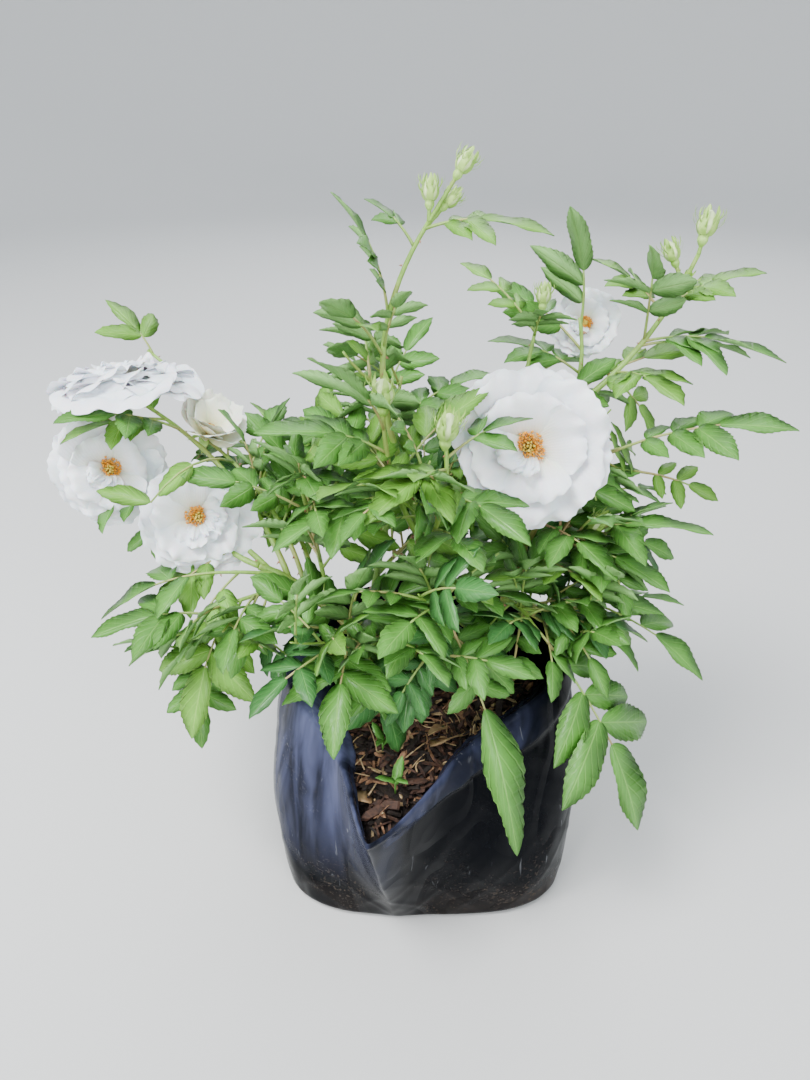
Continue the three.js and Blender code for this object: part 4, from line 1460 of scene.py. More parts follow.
    def _try_leaf(self, growth: Growth, stem: Arc, plan: LeafPlan, seed: int) -> None:
        """Adds a leaf where the picture has room for it and most of its leaflets do too.

        Args:
            growth: what grows on the shoot.
            stem: the shoot's or twig's arc.
            plan: the leaf's row.
            seed: the seed of its roll, its green and its chance.
        """
        roll = self.most_roll * (2 * Draws(seed * 3 + 29).next() - 1)
        line, leaflets = self.rule.layout(stem.point(plan.at), plan, roll)
        if Draws(seed * 5 + 11).next() > VIEW.fullness(line.point(0.8)):
            return
        if not self._open(line.point(np.array([0.6, 1.0]))):
            return
        kept = [one for one in leaflets if self._has_room(one)]
        if len(kept) < self.least_leaflets:
            return
        growth.leaves.append(Leaf(line, tuple(kept), self._tone(line.tip, seed)))
        self.middles = np.concatenate([self.middles, [self._middle(one) for one in kept]])

    def _has_room(self, leaflet: Leaflet) -> bool:
        """Whether a leaflet lies in the open and apart from every other one."""
        middle = self._middle(leaflet)
        if np.linalg.norm(self.middles - middle, axis=1).min() < self.clear_of_leaflets:
            return False
        return self._open(np.array([middle, leaflet.tip()]))

    def _open(self, points: Array) -> bool:
        """Whether points lie in the crown, off the canes, the bag, the chips and the blooms."""
        inside = (points - self.crown_centre) / self.crown_reach
        if (np.linalg.norm(inside, axis=1) > 1).any():
            return False
        apart = np.linalg.norm(self.limbs[None] - points[:, None], axis=2)
        if apart.min() < self.clear_of_canes:
            return False
        if not BAG.is_clear(points):
            return False
        return all(self._off_bloom(g.bloom, points) for g in self.growths if g.bloom)

    def _off_bloom(self, bloom: Bloom, points: Array) -> bool:
        """Whether points keep out of a bloom and of the space that it looks into."""
        off = points - bloom.place
        ahead = off @ bloom.along
        beside = np.linalg.norm(off - ahead[:, None] * bloom.along, axis=1)
        share, room = self.clear_beside_bloom
        between = (ahead > -self.clear_behind_bloom) & (ahead < self.clear_before_bloom)
        return not (between & (beside < bloom.radius * share + room)).any()


# The bag and what fills it


@dataclass(frozen=True)
class Hump:
    """A smooth hump round the bag: its height, the angle of its middle, and its half width."""

    height: float
    at: float
    span: float

    def over(self, angle: Array) -> Array:
        """The height at angles: height times e to the minus square of offset over span."""
        return self.height * np.exp(-(((angle - self.at) / self.span) ** 2))


@dataclass(frozen=True)
class Oval:
    """A squared oval: its half width, its half depth and its power."""

    half_width: float
    half_depth: float
    power: float

    def radius(self, angle: Array) -> Array:
        """The radius at headings in degrees: (|cos/w|^p + |sin/d|^p)^(-1/p)."""
        a = np.radians(angle)
        x = (np.abs(np.cos(a)) / self.half_width) ** self.power
        y = (np.abs(np.sin(a)) / self.half_depth) ** self.power
        return (x + y) ** (-1 / self.power)


@dataclass(frozen=True)
class GrowBag:
    """The soft film bag: an oval wall with a spout in front, a rolled rim and a folded lip."""

    base: Oval = Oval(86, 60, 3.4)
    rim: Oval = Oval(79, 62, 2)
    rim_height_front: float = 122
    rim_height_gain: float = 43
    rim_rise_span: float = 70
    rim_rise_power: float = 1.2
    spout_angle: float = -106
    spout_pull: float = 46
    spout_width: float = 15
    spout_power: float = 1.3
    front_tuck: Hump = Hump(6, 60, 30)
    wall_bulge: float = 9
    flat_front: Hump = Hump(1, 0, 35)
    bottom_rounding: float = 3
    film: float = 0.8
    hem_width: float = 19
    hem_thickness: float = 1.8
    hem_slope: float = 4
    hem_start: float = 5
    hem_runin: float = 2.5
    hem_end: float = 112
    hem_runout: float = 9
    hem_narrowing: Hump = Hump(0.6, 0, 16)
    hem_wave: float = 1.6
    lip_width: float = 12
    lip_narrowing: Hump = Hump(7, 0, 20)
    lip_fold: Hump = Hump(16, -75, 40)
    lip_roll: float = 3
    lip_drop: float = 4
    skirt_gap: float = 2.6
    skirt_drop: float = 34
    crimps: Span = (0.9, 0.6)
    medium_top: float = 125
    medium_edge: float = 118
    medium_drop: Hump = Hump(12, 0, 30)
    medium_flat_share: float = 0.6
    sides: int = 400
    wall_rows: int = 70
    wall_from: float = 0.03
    bottom_rings: tuple[float, ...] = (0.04, 0.4, 0.75, 0.95, 1.0)
    lip_rows: int = 12
    skirt_rows: int = 8
    swells: Span = (0.7, 0.5)
    creases: int = 26
    crease_depth: float = 2.2
    crease_gather: float = 0.22
    crease_drift: float = 16
    crease_width: Span = (2.2, 5.5)
    crease_length: float = 0.3
    crumples: int = 8
    crumple_depth: float = 0.9
    crumple_slant: float = 16
    crumple_fade: float = 2.2
    most_relief: float = 3
    relief_rise: float = 6
    clear_above: float = 7
    clear_outside: float = 6
    clear_inside: float = 3
    clear_of_chips: float = 5

    def from_spout(self, angle: Array) -> Array:
        """The angle from the spout in degrees, from -180 to 180."""
        return (angle - self.spout_angle + 180) % 360 - 180

    def rim_radius(self, angle: Array) -> Array:
        """The rim's radius: an oval, pulled out at the spout and tucked in beside it."""
        off = self.from_spout(angle)
        pull = self.spout_pull * np.exp(-((np.abs(off) / self.spout_width) ** self.spout_power))
        return self.rim.radius(angle) + pull - self.front_tuck.over(off)

    def rim_height(self, angle: Array) -> Array:
        """The rim's height: lowest at the spout, and level towards the back."""
        share = (np.abs(self.from_spout(angle)) / self.rim_rise_span) ** self.rim_rise_power
        return self.rim_height_front + self.rim_height_gain * (1 - np.exp(-share))

    def radius(self, angle: Array, share: Array) -> Array:
        """The wall's radius at a share of the way up to the rim."""
        base = self.base.radius(angle)
        round_side = 1 - self.flat_front.over(self.from_spout(angle))
        plain = base + (self.rim_radius(angle) - base) * share
        return plain + self.wall_bulge * np.sin(np.pi * share) * round_side

    def lip_reach(self, angle: Array) -> Array:
        """How far the lip folds in: little at the spout, far on the left."""
        off = self.from_spout(angle)
        return self.lip_width - self.lip_narrowing.over(off) + self.lip_fold.over(off)

    def medium_height(self, angle: Array, share: Array) -> Array:
        """The chips' height at a share of the way out: level, then falling to the wall."""
        edge = self.medium_edge - self.medium_drop.over(self.from_spout(angle))
        slope = np.clip((share - self.medium_flat_share) / (1 - self.medium_flat_share), 0, 1)
        return self.medium_top + (edge - self.medium_top) * slope

    def relief(self, angle: Array, share: Array) -> Array:
        """The film's folds: seeded creases, soft swells between them, and crumples low down.

        Args:
            angle: headings in degrees.
            share: how far up the wall each is, from 0 to 1.

        Returns:
            How far the film stands out from its plain wall, held within the most relief.
        """
        off = self.from_spout(angle)
        turn = np.radians(off)
        broad, narrow = self.swells
        total = broad * np.sin(turn * 7 + 5 * share) * np.sin(np.pi * share)
        total = total + narrow * np.sin(turn * 13 - 9 * share + 1)
        for number in range(self.creases):
            total = total + self._crease(number, off, share)
        for number in range(self.crumples):
            total = total + self._crumple(number, turn, share)
        most = self.most_relief
        return most * np.tanh(total / most) * np.clip(share * self.relief_rise, 0, 1)

    def _crease(self, number: int, off: Array, share: Array) -> Array:
        """A sharp ridge along a slanting line: e to the minus of distance over width.

        It fades away from its own middle height. Two in three gather at the spout.

        Args:
            number: the crease's number, from 0.
            off: the angles from the spout in degrees.
            share: how far up the wall each is.

        Returns:
            How far the crease stands out or in.
        """
        draw = Draws(number * 41 + 7)
        gathered = number % 3 != 2
        foot = draw.between(-170, 170)
        drift = 0 if gathered else draw.between(-self.crease_drift, self.crease_drift)
        top = foot * self.crease_gather if gathered else foot + drift
        width = draw.between(*self.crease_width)
        middle = draw.between(0.5, 0.95) if gathered else draw.between(0.1, 0.6)
        depth = self.crease_depth * draw.between(-0.9, 1)
        ridge = np.exp(-np.abs(off - (foot + (top - foot) * share)) / width)
        return depth * ridge * Hump(1, middle, self.crease_length).over(share)

    def _crumple(self, number: int, turn: Array, share: Array) -> Array:
        """Slanting folds low down, each the cube of 1 - |sin|, which fade upwards.

        Args:
            number: the number of this set of folds, from 0.
            turn: the angles from the spout in radians.
            share: how far up the wall each is.

        Returns:
            How far the folds stand out or in.
        """
        draw = Draws(number * 67 + 13)
        waves = round(draw.between(3, 9))
        slant = draw.between(-self.crumple_slant, self.crumple_slant)
        wave = np.sin(turn * waves + share * slant + draw.between(0, 6))
        depth = self.crumple_depth * draw.between(-0.8, 1)
        return depth * (1 - np.abs(wave)) ** 3 * np.exp(-share * self.crumple_fade)

    def hem(self, angle: Array, below: Array) -> Array:
        """The hem, folded down outside the rim from the spout to the right.

        Args:
            angle: headings in degrees.
            below: how deep under the rim each is.

        Returns:
            How far the hem stands out: its thickness, sloping off at its lower edge.
        """
        off = self.from_spout(angle)
        width = self.hem_width * (1 - self.hem_narrowing.over(off))
        width = width + self.hem_wave * np.sin(np.radians(off) * 6 + 1)
        width = width / (1 + np.exp((off - self.hem_end) / self.hem_runout))
        width = width / (1 + np.exp((self.hem_start - off) / self.hem_runin))
        return self.hem_thickness * np.clip((width - below) / self.hem_slope, 0, 1)

    def crimp(self, angle: Array) -> Array:
        """The small waves of the lip and of the skirt under it."""
        broad, narrow = self.crimps
        turn = np.radians(angle)
        return broad * np.sin(turn * 23) + narrow * np.sin(turn * 41 + 1)

    def is_clear(self, points: Array) -> bool:
        """Whether points keep out of the bag's wall, its lip and the chips."""
        angle = np.degrees(np.arctan2(points[:, 1], points[:, 0]))
        distance, height = np.hypot(points[:, 0], points[:, 1]), points[:, 2]
        wall = self.radius(angle, np.clip(height / self.rim_height(angle), 0, 1))
        within = distance < wall + self.clear_outside
        outside_lip = distance > wall - self.lip_reach(angle) - self.clear_inside
        near_wall = within & outside_lip & (height < self.rim_height(angle) + self.clear_above)
        in_chips = within & (height < self.medium_top + self.clear_of_chips)
        return not (near_wall | in_chips).any()

    def skin(self) -> Array:
        """The film from its underside up the wall, over the rolled rim and down inside.

        Returns:
            A grid of points, one ring in each row, open only at the middle of the underside.
        """
        angle = self.spout_angle + np.arange(self.sides) / self.sides * 360
        top = self.rim_height(angle)
        foot = self.radius(angle, np.full(self.sides, self.wall_from)) - self.bottom_rounding
        rows = [round_axis(angle, foot * share, 0.0) for share in self.bottom_rings]
        for share in np.linspace(self.wall_from, 1, self.wall_rows):
            step = np.full(self.sides, share)
            folds = self.relief(angle, step) * (1 - 0.5 * share)
            out = self.radius(angle, step) + folds + self.hem(angle, top * (1 - share))
            rows.append(round_axis(angle, out, top * share))
        return np.stack([*rows, *self._lip(angle), *self._skirt(angle)])

    def _lip(self, angle: Array) -> list[Array]:
        """Rings over the rolled rim and along the lip that folds in from it."""
        top, reach, crimp = self.rim_height(angle), self.lip_reach(angle), self.crimp(angle)
        fold = self.relief(angle, np.ones(self.sides)) * 0.5 + self.hem(angle, top * 0)
        rows = []
        for share in np.linspace(0.06, 1, self.lip_rows):
            roll = self.lip_roll * math.sin(math.pi * min(share * 1.4, 1)) ** 0.7
            out = self.rim_radius(angle) + fold - reach * share**1.15 + crimp * share
            level = top + roll - self.lip_drop * share**2 + crimp * 0.5 * share
            rows.append(round_axis(angle, out, level))
        return rows

    def _skirt(self, angle: Array) -> list[Array]:
        """Rings from the lip's edge down inside the wall, clear of it, into the chips."""
        rim, top, reach = self.rim_radius(angle), self.rim_height(angle), self.lip_reach(angle)
        rows = []
        for share in np.linspace(0.1, 1, self.skirt_rows):
            level = top - self.lip_drop - self.film - self.skirt_drop * share
            wall = self.radius(angle, level / top) + 0.5 * self.relief(angle, level / top)
            inner = rim - reach + (rim * 0.94 - rim + reach) * 0.2 * share
            inner += self.crimp(angle) * (1 - share)
            rows.append(round_axis(angle, np.minimum(inner, wall - self.skirt_gap), level))
        return rows

    def build(self) -> None:
        """Makes the film's mesh with its thickness and finish."""
        shell = Shell()
        shell.add_grids(self.skin(), wrap=True, tile=(8, 4))
        made = shell.piece("bag_film", [FilmFinish("black_film").build()])
        wall = made.modifiers.new("film", "SOLIDIFY")
        wall.thickness = self.film * MM
        wall.offset = -1
        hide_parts("grow_bag")


BAG = GrowBag()


@dataclass(frozen=True)
class DryLeaf:
    """A dry leaf on the chips: its heading, how far out it lies, its length and slimness."""

    heading: float
    out: float
    length: float
    slim: float


@dataclass(frozen=True)
class Medium:
    """The bark chips: a rough bed, loose chips and straws on it, and a few dry leaves."""

    rings: int = 30
    sides: int = 120
    seed: int = 11
    side_gap: float = 2.2
    roughness: float = 1.1
    sunk: float = 1.5
    inner_gap: float = 3
    inner_rings: tuple[float, ...] = (0.7, 0.5, 0.3, 0.06)
    chips: int = 2100
    chip_corners: tuple[float, ...] = (0, 40, 140, 180, 220, 320)
    chip_least: float = 3
    chip_slim: Span = (0.14, 0.42)
    chip_thickness: Span = (0.5, 1.5)
    chip_rim: Span = (0.75, 1.1)
    chip_top: float = 0.86
    chip_tilt: float = 0.42
    chip_lift: Span = (-1.2, 2.6)
    chip_kinds: tuple[float, ...] = (0.36, 0.38, 0.18, 0.08)
    straws: int = 110
    straw_length: Span = (8, 26)
    straw_lift: Span = (1.2, 3.6)
    straw_radius: Span = (0.42, 0.28)
    straw_size: Span = (0.7, 1.4)
    straw_tilt: float = 0.22
    dry_leaves: tuple[DryLeaf, ...] = (
        DryLeaf(-88, 0.62, 30, 0.42),
        DryLeaf(-112, 0.86, 22, 0.5),
        DryLeaf(-70, 0.5, 18, 0.4),
        DryLeaf(60, 0.6, 24, 0.4),
        DryLeaf(150, 0.6, 20, 0.5),
    )
    seedlings: int = 2

    def edge(self, angle: Array) -> Array:
        """The bed's radius where it meets the film."""
        height = BAG.medium_height(angle, np.ones_like(angle))
        return BAG.radius(angle, height / BAG.rim_height(angle)) - self.side_gap

    def place(self, angle: Array, share: Array) -> Array:
        """Points of the bed at headings and shares of the way out."""
        return round_axis(angle, self.edge(angle) * share, BAG.medium_height(angle, share))

    def spot(self, angle: float, share: float) -> Array:
        """One point of the bed."""
        return self.place(np.array(float(angle)), np.array(float(share)))

    def build(self) -> None:
        """Makes the bed, the chips and the litter."""
        rng = np.random.default_rng(self.seed)
        self._bed(rng)
        self._chips(rng)
        litter = Shell()
        self._straws(litter, rng)
        self._dry_leaves(litter)
        self._seedlings(litter)
        finishes = [CHIPS[3].build(), CHIPS[2].build(), DRY_LEAF.build(), LEAF_TOPS[1].build()]
        litter.piece("litter", finishes)

    def _bed(self, rng: np.random.Generator) -> None:
        """A dished grid with seeded bumps, closed below by rings down to the bag's floor."""
        angle = np.arange(self.sides) / self.sides * 360
        shares = np.linspace(0.01, 1, self.rings)
        grid = np.stack([self.place(angle, np.full(self.sides, s)) for s in shares])
        grid[1:-1, :, 2] += rng.normal(0, self.roughness, grid[1:-1, :, 2].shape) - self.sunk
        steps = [self._inner_ring(angle, share) for share in self.inner_rings]
        middle = steps[-1] * np.array([0.02, 0.02, 1])
        shell = Shell()
        shell.add_grids(np.concatenate([grid, [*steps, middle]]), wrap=True, flip=True, caps=True)
        made = shell.piece("chip_bed", [EARTH.build()])
        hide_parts("medium")

    def _inner_ring(self, angle: Array, share: float) -> Array:
        """The filling's side at a share of the wall's height, a little inside the film."""
        radius = BAG.radius(angle, np.full(len(angle), share)) - self.side_gap - self.inner_gap
        return round_axis(angle, radius, BAG.rim_height(angle) * share)

    def _chips(self, rng: np.random.Generator) -> None:
        """Flakes with irregular corners above and below, lying at all angles."""
        many, sides = self.chips, len(self.chip_corners)
        angle = rng.uniform(0, 360, many)
        length = rng.gamma(4, 1.6, many) + self.chip_least
        inward = 1 - (length / 2 + self.chip_least) / self.edge(angle)
        share = np.sqrt(rng.uniform(0, 1, many)) * inward
        width = length * rng.uniform(*self.chip_slim, many)
        half = rng.uniform(*self.chip_thickness, many)[:, None] / 2
        corner = np.radians(self.chip_corners)
        rim = np.stack([np.cos(corner), np.sin(corner)], -1)
        rim = rim * rng.uniform(*self.chip_rim, (many, sides, 1))
        flat = rim * np.stack([length, width], -1)[:, None] / 2
        level = np.repeat(np.concatenate([half, -half], 1), sides, 1)[..., None]
        block = np.concatenate([np.concatenate([flat * self.chip_top, flat], 1), level], 2)
        block = block @ tumbles(rng, many, self.chip_tilt)
        centre = self.place(angle, share)
        centre[:, 2] += rng.uniform(*self.chip_lift, many)
        faces = [[0, i, i + 1] for i in range(1, sides - 1)]
        faces += [[sides, sides + i + 1, sides + i] for i in range(1, sides - 1)]
        for i in range(sides):
            k = (i + 1) % sides
            faces += [[i, sides + i, sides + k], [i, sides + k, k]]
        kinds = rng.choice(len(CHIPS), many, p=self.chip_kinds)
        shell = Shell()
        shell.add_blocks(block + centre[:, None], np.array(faces), kinds)
        made = shell.piece("bark_chips", [c.build() for c in CHIPS], smooth=False)

    def _straws(self, shell: Shell, rng: np.random.Generator) -> None:
        """Bent straws that lie about; one in three is darker."""
        turns = tumbles(rng, self.straws, self.straw_tilt)
        for i in range(self.straws):
            length = rng.uniform(*self.straw_length)
            heading, out = rng.uniform(0, 360), math.sqrt(rng.uniform(0, 1))
            out *= 1 - (length / 2 + 4) / self.edge(np.array(heading))
            along = np.array([1.0, 0, 0]) @ turns[i]
            middle = self.spot(heading, out) + UP * rng.uniform(*self.straw_lift)
            foot, tip = middle - along * length / 2, middle + along * length / 2
            bend = middle + np.array([0, rng.normal(0, 2), rng.uniform(0, 1.5)]) @ turns[i]
            radius = np.linspace(*self.straw_radius, 5) * rng.uniform(*self.straw_size)
            shell.add_limb(Arc(foot, bend, tip, heading_of(along)), radius, 4, int(i % 3 == 0))

    def _dry_leaves(self, shell: Shell) -> None:
        """Curled dry leaves, each turned on from the last."""
        for i, leaf in enumerate(self.dry_leaves):
            foot = self.spot(leaf.heading, leaf.out) + UP * 3
            along, _, up = axes(40 + 97 * i, 12)
            up = unit(up + axes(0, 0)[1] * 0.4)
            along = unit(along - up * along.dot(up))
            leaflet = Leaflet(foot, along, up, leaf.length, leaf.length * leaf.slim)
            blade = FOLIAGE.blades([leaflet], FOLIAGE.fine_rows)
            shell.add_grids(blade, wrap=True, slots=2, caps=True, split=True)

    def _seedlings(self, shell: Shell) -> None:
        """Seedlings with three small leaves on a short stem."""
        for i in range(self.seedlings):
            foot = self.spot(-118 + 14 * i, 0.62 + 0.1 * i) + UP * 2
            leaflets = []
            for k in range(3):
                along, _, up = axes(125 * k + 70 * i, 52 - 12 * k)
                leaflets.append(Leaflet(foot + UP * (3 + 2 * k), along, up, 15 - 3 * k, 6 - k))
            blades = FOLIAGE.blades(leaflets, FOLIAGE.rows)
            shell.add_grids(blades, wrap=True, slots=3, caps=True, split=True)
            shell.add_limb(Arc(foot - UP * 3, foot, foot + UP * 5, 0), np.full(3, 0.5), 4, 3)


# The plant's surfaces


@dataclass(frozen=True)
class Foliage:
    """The leaves: folded, toothed leaflets with a closed skin, on slender stalks."""

    rows: int = 12
    fine_rows: int = 28
    fine_from: float = 31
    tooth: float = 0.04
    tooth_lean: float = 0.4
    toothed: Span = (0.12, 0.9)
    outline_powers: Span = (0.6, 0.85)
    outline_scale: float = 2.673
    least_outline: float = 0.012
    fold: float = 0.28
    ruffle: float = 0.03
    thickness: float = 0.5
    rachis_radius: Span = (0.85, 0.5)
    rachis_sides: int = 5
    rachis_rows: int = 6

    def blades(self, leaflets: list[Leaflet], rows: int) -> Array:
        """The closed skins of many leaflets at once.

        Across a leaflet the ring runs from one edge over the rib to the other edge, and back
        along the underside of the rib. The half width at a share u of the length goes with
        u^0.6 (1-u)^0.85, with teeth that lean towards the tip. A leaflet is folded up from its
        rib, and curls down with the square of u. The rows lie closer near its two ends: u is
        the mean of t and (1 - cos pi t) / 2.

        Args:
            leaflets: their places.
            rows: how many rows of faces each has.

        Returns:
            Points of shape leaflets, rows + 1, 4, 3.
        """
        frames = np.array([(one.base, one.along, one.up) for one in leaflets])
        base, along, up = frames.transpose(1, 0, 2)[:, :, None, None]
        side = np.cross(up, along)
        sizes = np.array([(one.length, one.width / 2) for one in leaflets])
        length, half = sizes.T[..., None, None]
        t = np.linspace(0, 1, rows + 1)[None, :, None]
        u = 0.5 * t + 0.25 * (1 - np.cos(np.pi * t))
        y = np.array([1, 0, -1, 0])[None, None]
        under = np.array([0, 0, 0, 1])[None, None]
        towards_base, towards_tip = self.outline_powers
        outline = self.outline_scale * u**towards_base * np.clip(1 - u, 0, 1) ** towards_tip
        outline = outline + self.least_outline
        out = np.where(np.arange(rows + 1) % 2 == 1, 1.0, -1.0)[None, :, None]
        first, last = self.toothed
        edge = (np.abs(y) == 1) & (u > first) & (u < last)
        width = outline * (1 + self.tooth * out * edge)
        lean = self.tooth_lean / rows * (out > 0) * edge
        phase = (np.arange(len(leaflets)) * 2.4)[:, None, None]
        wave = self.ruffle * np.sin(9 * u + phase + 1.5 * y) * np.abs(y) * length * outline
        raised = self.fold * half * outline * np.abs(y)
        height = raised + wave - Leaflet.CURL * length * u**2 - self.thickness * under
        skin = base + along * ((u + lean) * length)[..., None]
        return skin + side * (y * half * width)[..., None] + up * height[..., None]

    def build(self, region: Region, growths: list[Growth]) -> None:
        """Joins the leaflets of a region's shoots into one piece. Long leaflets have more rows.

        Args:
            region: the part of the crown.
            growths: its shoots.
        """
        leaves = [leaf for growth in growths for leaf in growth.leaves]
        leaflets = [one for leaf in leaves for one in leaf.leaflets]
        tones = np.array([leaf.tone for leaf in leaves for _ in leaf.leaflets])
        under = len(LEAF_TOPS)
        slots = np.stack([tones] * 2 + [np.full(len(tones), under)] * 2, -1)
        shell = Shell()
        large = np.array([p.length > self.fine_from for p in leaflets])
        for chosen, rows in ((~large, self.rows), (large, self.fine_rows)):
            if chosen.any():
                blades = self.blades([leaflets[i] for i in np.flatnonzero(chosen)], rows)
                shell.add_grids(blades, True, slots[chosen], caps=True, tile=(2, 1), split=True)
        finishes = [f.build() for f in (*LEAF_TOPS, LEAF_UNDER)]
        made = shell.piece(f"leaves_{region.name.lower()}", finishes)
        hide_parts(*region.value)

    def build_stalks(self, growths: list[Growth]) -> None:
        """Joins the stalks of all leaves into one piece."""
        shell = Shell()
        radius = np.linspace(*self.rachis_radius, self.rachis_rows + 1)
        for growth in growths:
            rings = [leaf.arc.rings(radius, self.rachis_sides) for leaf in growth.leaves]
            shell.add_grids(np.stack(rings), wrap=True, caps=True)
        made = shell.piece("leaf_stalks", [RACHIS_SKIN.build()])


FOLIAGE = Foliage()


@dataclass(frozen=True)
class Wood:
    """The stock, the canes and the soft stems, with joints, skin relief and prickles."""

    cane_sides: int = 18
    cane_rows: int = 64
    stem_sides: int = 9
    stem_rows: int = 18
    joint_step: float = 17
    joint_swell: float = 0.16
    joint_width: float = 0.16
    cane_ridges: float = 0.07
    stem_ridges: float = 0.03
    prickle_step: Span = (9, 14.4)
    prickle_length: Span = (4.2, 2.4)
    prickle_sides: int = 5
    stock_rows: int = 40
    stock_sides: int = 36
    stock_lobes: Span = (0.6, 0.4)
    stock_knots: float = 0.35

    def radii(self, arc: Arc, foot: float, tip: float, rows: int, sides: int, rough: float) -> Array:
        """A limb's radius at each corner: an even taper, swollen joints and fine ridges.

        Args:
            arc: the limb's centre line.
            foot: its thickness at the foot.
            tip: its thickness at the tip.
            rows: how many steps it has.
            sides: how many corners a ring has.
            rough: the depth of its ridges.

        Returns:
            Radii of shape rows + 1, sides.
        """
        share = np.linspace(0, 1, rows + 1)[:, None]
        angle = corner_angles(sides)[None]
        length = np.linalg.norm(arc.tip - arc.foot)
        plain = (foot + (tip - foot) * share) / 2
        joints = np.abs((share * length / self.joint_step) % 1 - 0.5) * 2
        swell = 1 + self.joint_swell * np.exp(-((joints / self.joint_width) ** 2))
        ridges = np.sin(3 * angle + 21 * share) + 0.6 * np.sin(7 * angle - 47 * share + 2)
        return plain * swell + rough * ridges

    def prickles(self, arc: Arc, thickness: float, seed: int, step: float, length: float) -> Array:
        """Curved thorns round a limb, with broad feet and tips that hook down.

        Args:
            arc: the limb's centre line.
            thickness: its thickness.
            seed: the seed of their places.
            step: how far apart they are.
            length: how long they are.

        Returns:
            Points of shape thorns, 11, 3: a foot ring, a middle ring and a tip.
        """
        many = max(int(np.linalg.norm(arc.tip - arc.foot) / step), 1)
        rng = np.random.default_rng(seed)
        share = (np.arange(many) + rng.uniform(0.2, 0.8, many)) / many
        tangent = arc.tangent(share)
        level = unit(np.cross(tangent, UP + 0.01))
        other = np.cross(tangent, level)
        turn = rng.uniform(0, 2 * math.pi, many)[:, None]
        out = level * np.cos(turn) + other * np.sin(turn)
        across = np.cross(tangent, out)
        foot = arc.point(share) + out * thickness * 0.4
        size = rng.uniform(0.6, 1.1, many)[:, None, None] * length
        corner = corner_angles(self.prickle_sides)[None, :, None]
        ring = tangent[:, None] * np.cos(corner) * 0.42 + across[:, None] * np.sin(corner) * 0.16
        middle = out[:, None] * 0.5 - tangent[:, None] * 0.05 + ring * 0.5
        tip = out[:, None] * 0.95 - tangent[:, None] * 0.45
        return foot[:, None] + np.concatenate([ring, middle, tip], 1) * size

    def build(self, bush: Bush) -> None:
        """Makes the stock, each cane, the soft stems and the prickles."""
        self._stock(bush.arcs["trunk"])
        thorns, stems = Shell(), Shell()
        steps, lengths = self.prickle_step, self.prickle_length
        for number, row in enumerate(CANES):
            arc = bush.arcs[row.name]
            shell = Shell()
            size = (row.foot, row.tip, self.cane_rows, self.cane_sides, self.cane_ridges)
            shell.add_limb(arc, self.radii(arc, *size), self.cane_sides)
            made = shell.piece(f"{row.name}_bark", [CANE_SKIN.build()])
            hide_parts(row.name)
            blocks = self.prickles(arc, row.foot, number + 3, steps[0], lengths[0])
            thorns.add_blocks(blocks, self._thorn_faces())
        for number, growth in enumerate(bush.growths):
            for arc, foot, tip in growth.stems:
                size = (foot, tip, self.stem_rows, self.stem_sides, self.stem_ridges)
                stems.add_limb(arc, self.radii(arc, *size), self.stem_sides)
            foot = growth.row.foot
            blocks = self.prickles(growth.arc, foot, number + 40, steps[1], lengths[1])
            thorns.add_blocks(blocks, self._thorn_faces())
        stems.piece("soft_stems", [STEM_SKIN.build()])
        thorns.piece("prickles", [PRICKLE_SKIN.build()])

    def _thorn_faces(self) -> Array:
        """The triangles of a thorn: a foot ring, a middle ring and a tip, open at the foot."""
        n = self.prickle_sides
        faces = []
        for i in range(n):
            k = (i + 1) % n
            faces += [[i, k, n + k], [i, n + k, n + i], [n + i, n + k, 2 * n]]
        return np.array(faces)

    def _stock(self, arc: Arc) -> None:
        """The stock with lobes of bark, wider at its foot, cut flat over the chips."""
        share = np.linspace(0, 1, self.stock_rows + 1)[:, None]
        angle = corner_angles(self.stock_sides)[None]
        plain = (STOCK.foot + (STOCK.tip - STOCK.foot) * share) / 2
        plain = plain + STOCK_FLARE / 2 * (1 - share) ** 4
        broad, narrow = self.stock_lobes
        lobes = broad * np.sin(3 * angle + 2 * share) + narrow * np.sin(5 * angle - 5 * share + 1)
        knots = self.stock_knots * np.sin(9 * angle + 30 * share) * np.sin(17 * share)
        skin = arc.rings(plain + lobes + knots, self.stock_sides)
        skin[..., 2] = np.maximum(skin[..., 2], STOCK_BOTTOM)
        shell = Shell()
        shell.add_grids(skin, wrap=True, caps=True)
        made = shell.piece("stock_wood", [STOCK_BARK.build()])
        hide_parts("trunk")


class BloomStyle(Enum):
    """How far a bloom is open and how full it is."""

    OPEN = "open"
    FULL = "full"
    CUPPED = "cupped"
    DOMED = "domed"


@dataclass(frozen=True)
class PetalRing:
    """A ring of petals: how many, their reach and half width, and how they rise.

    Lift is the height gained near the heart, and cup the height gained further out. The
    petals are evenly spread unless they have their own step in degrees.
    """

    count: int
    reach: float
    width: float
    lift: float
    cup: float
    ruffle: float
    phase: float
    step: float = 0


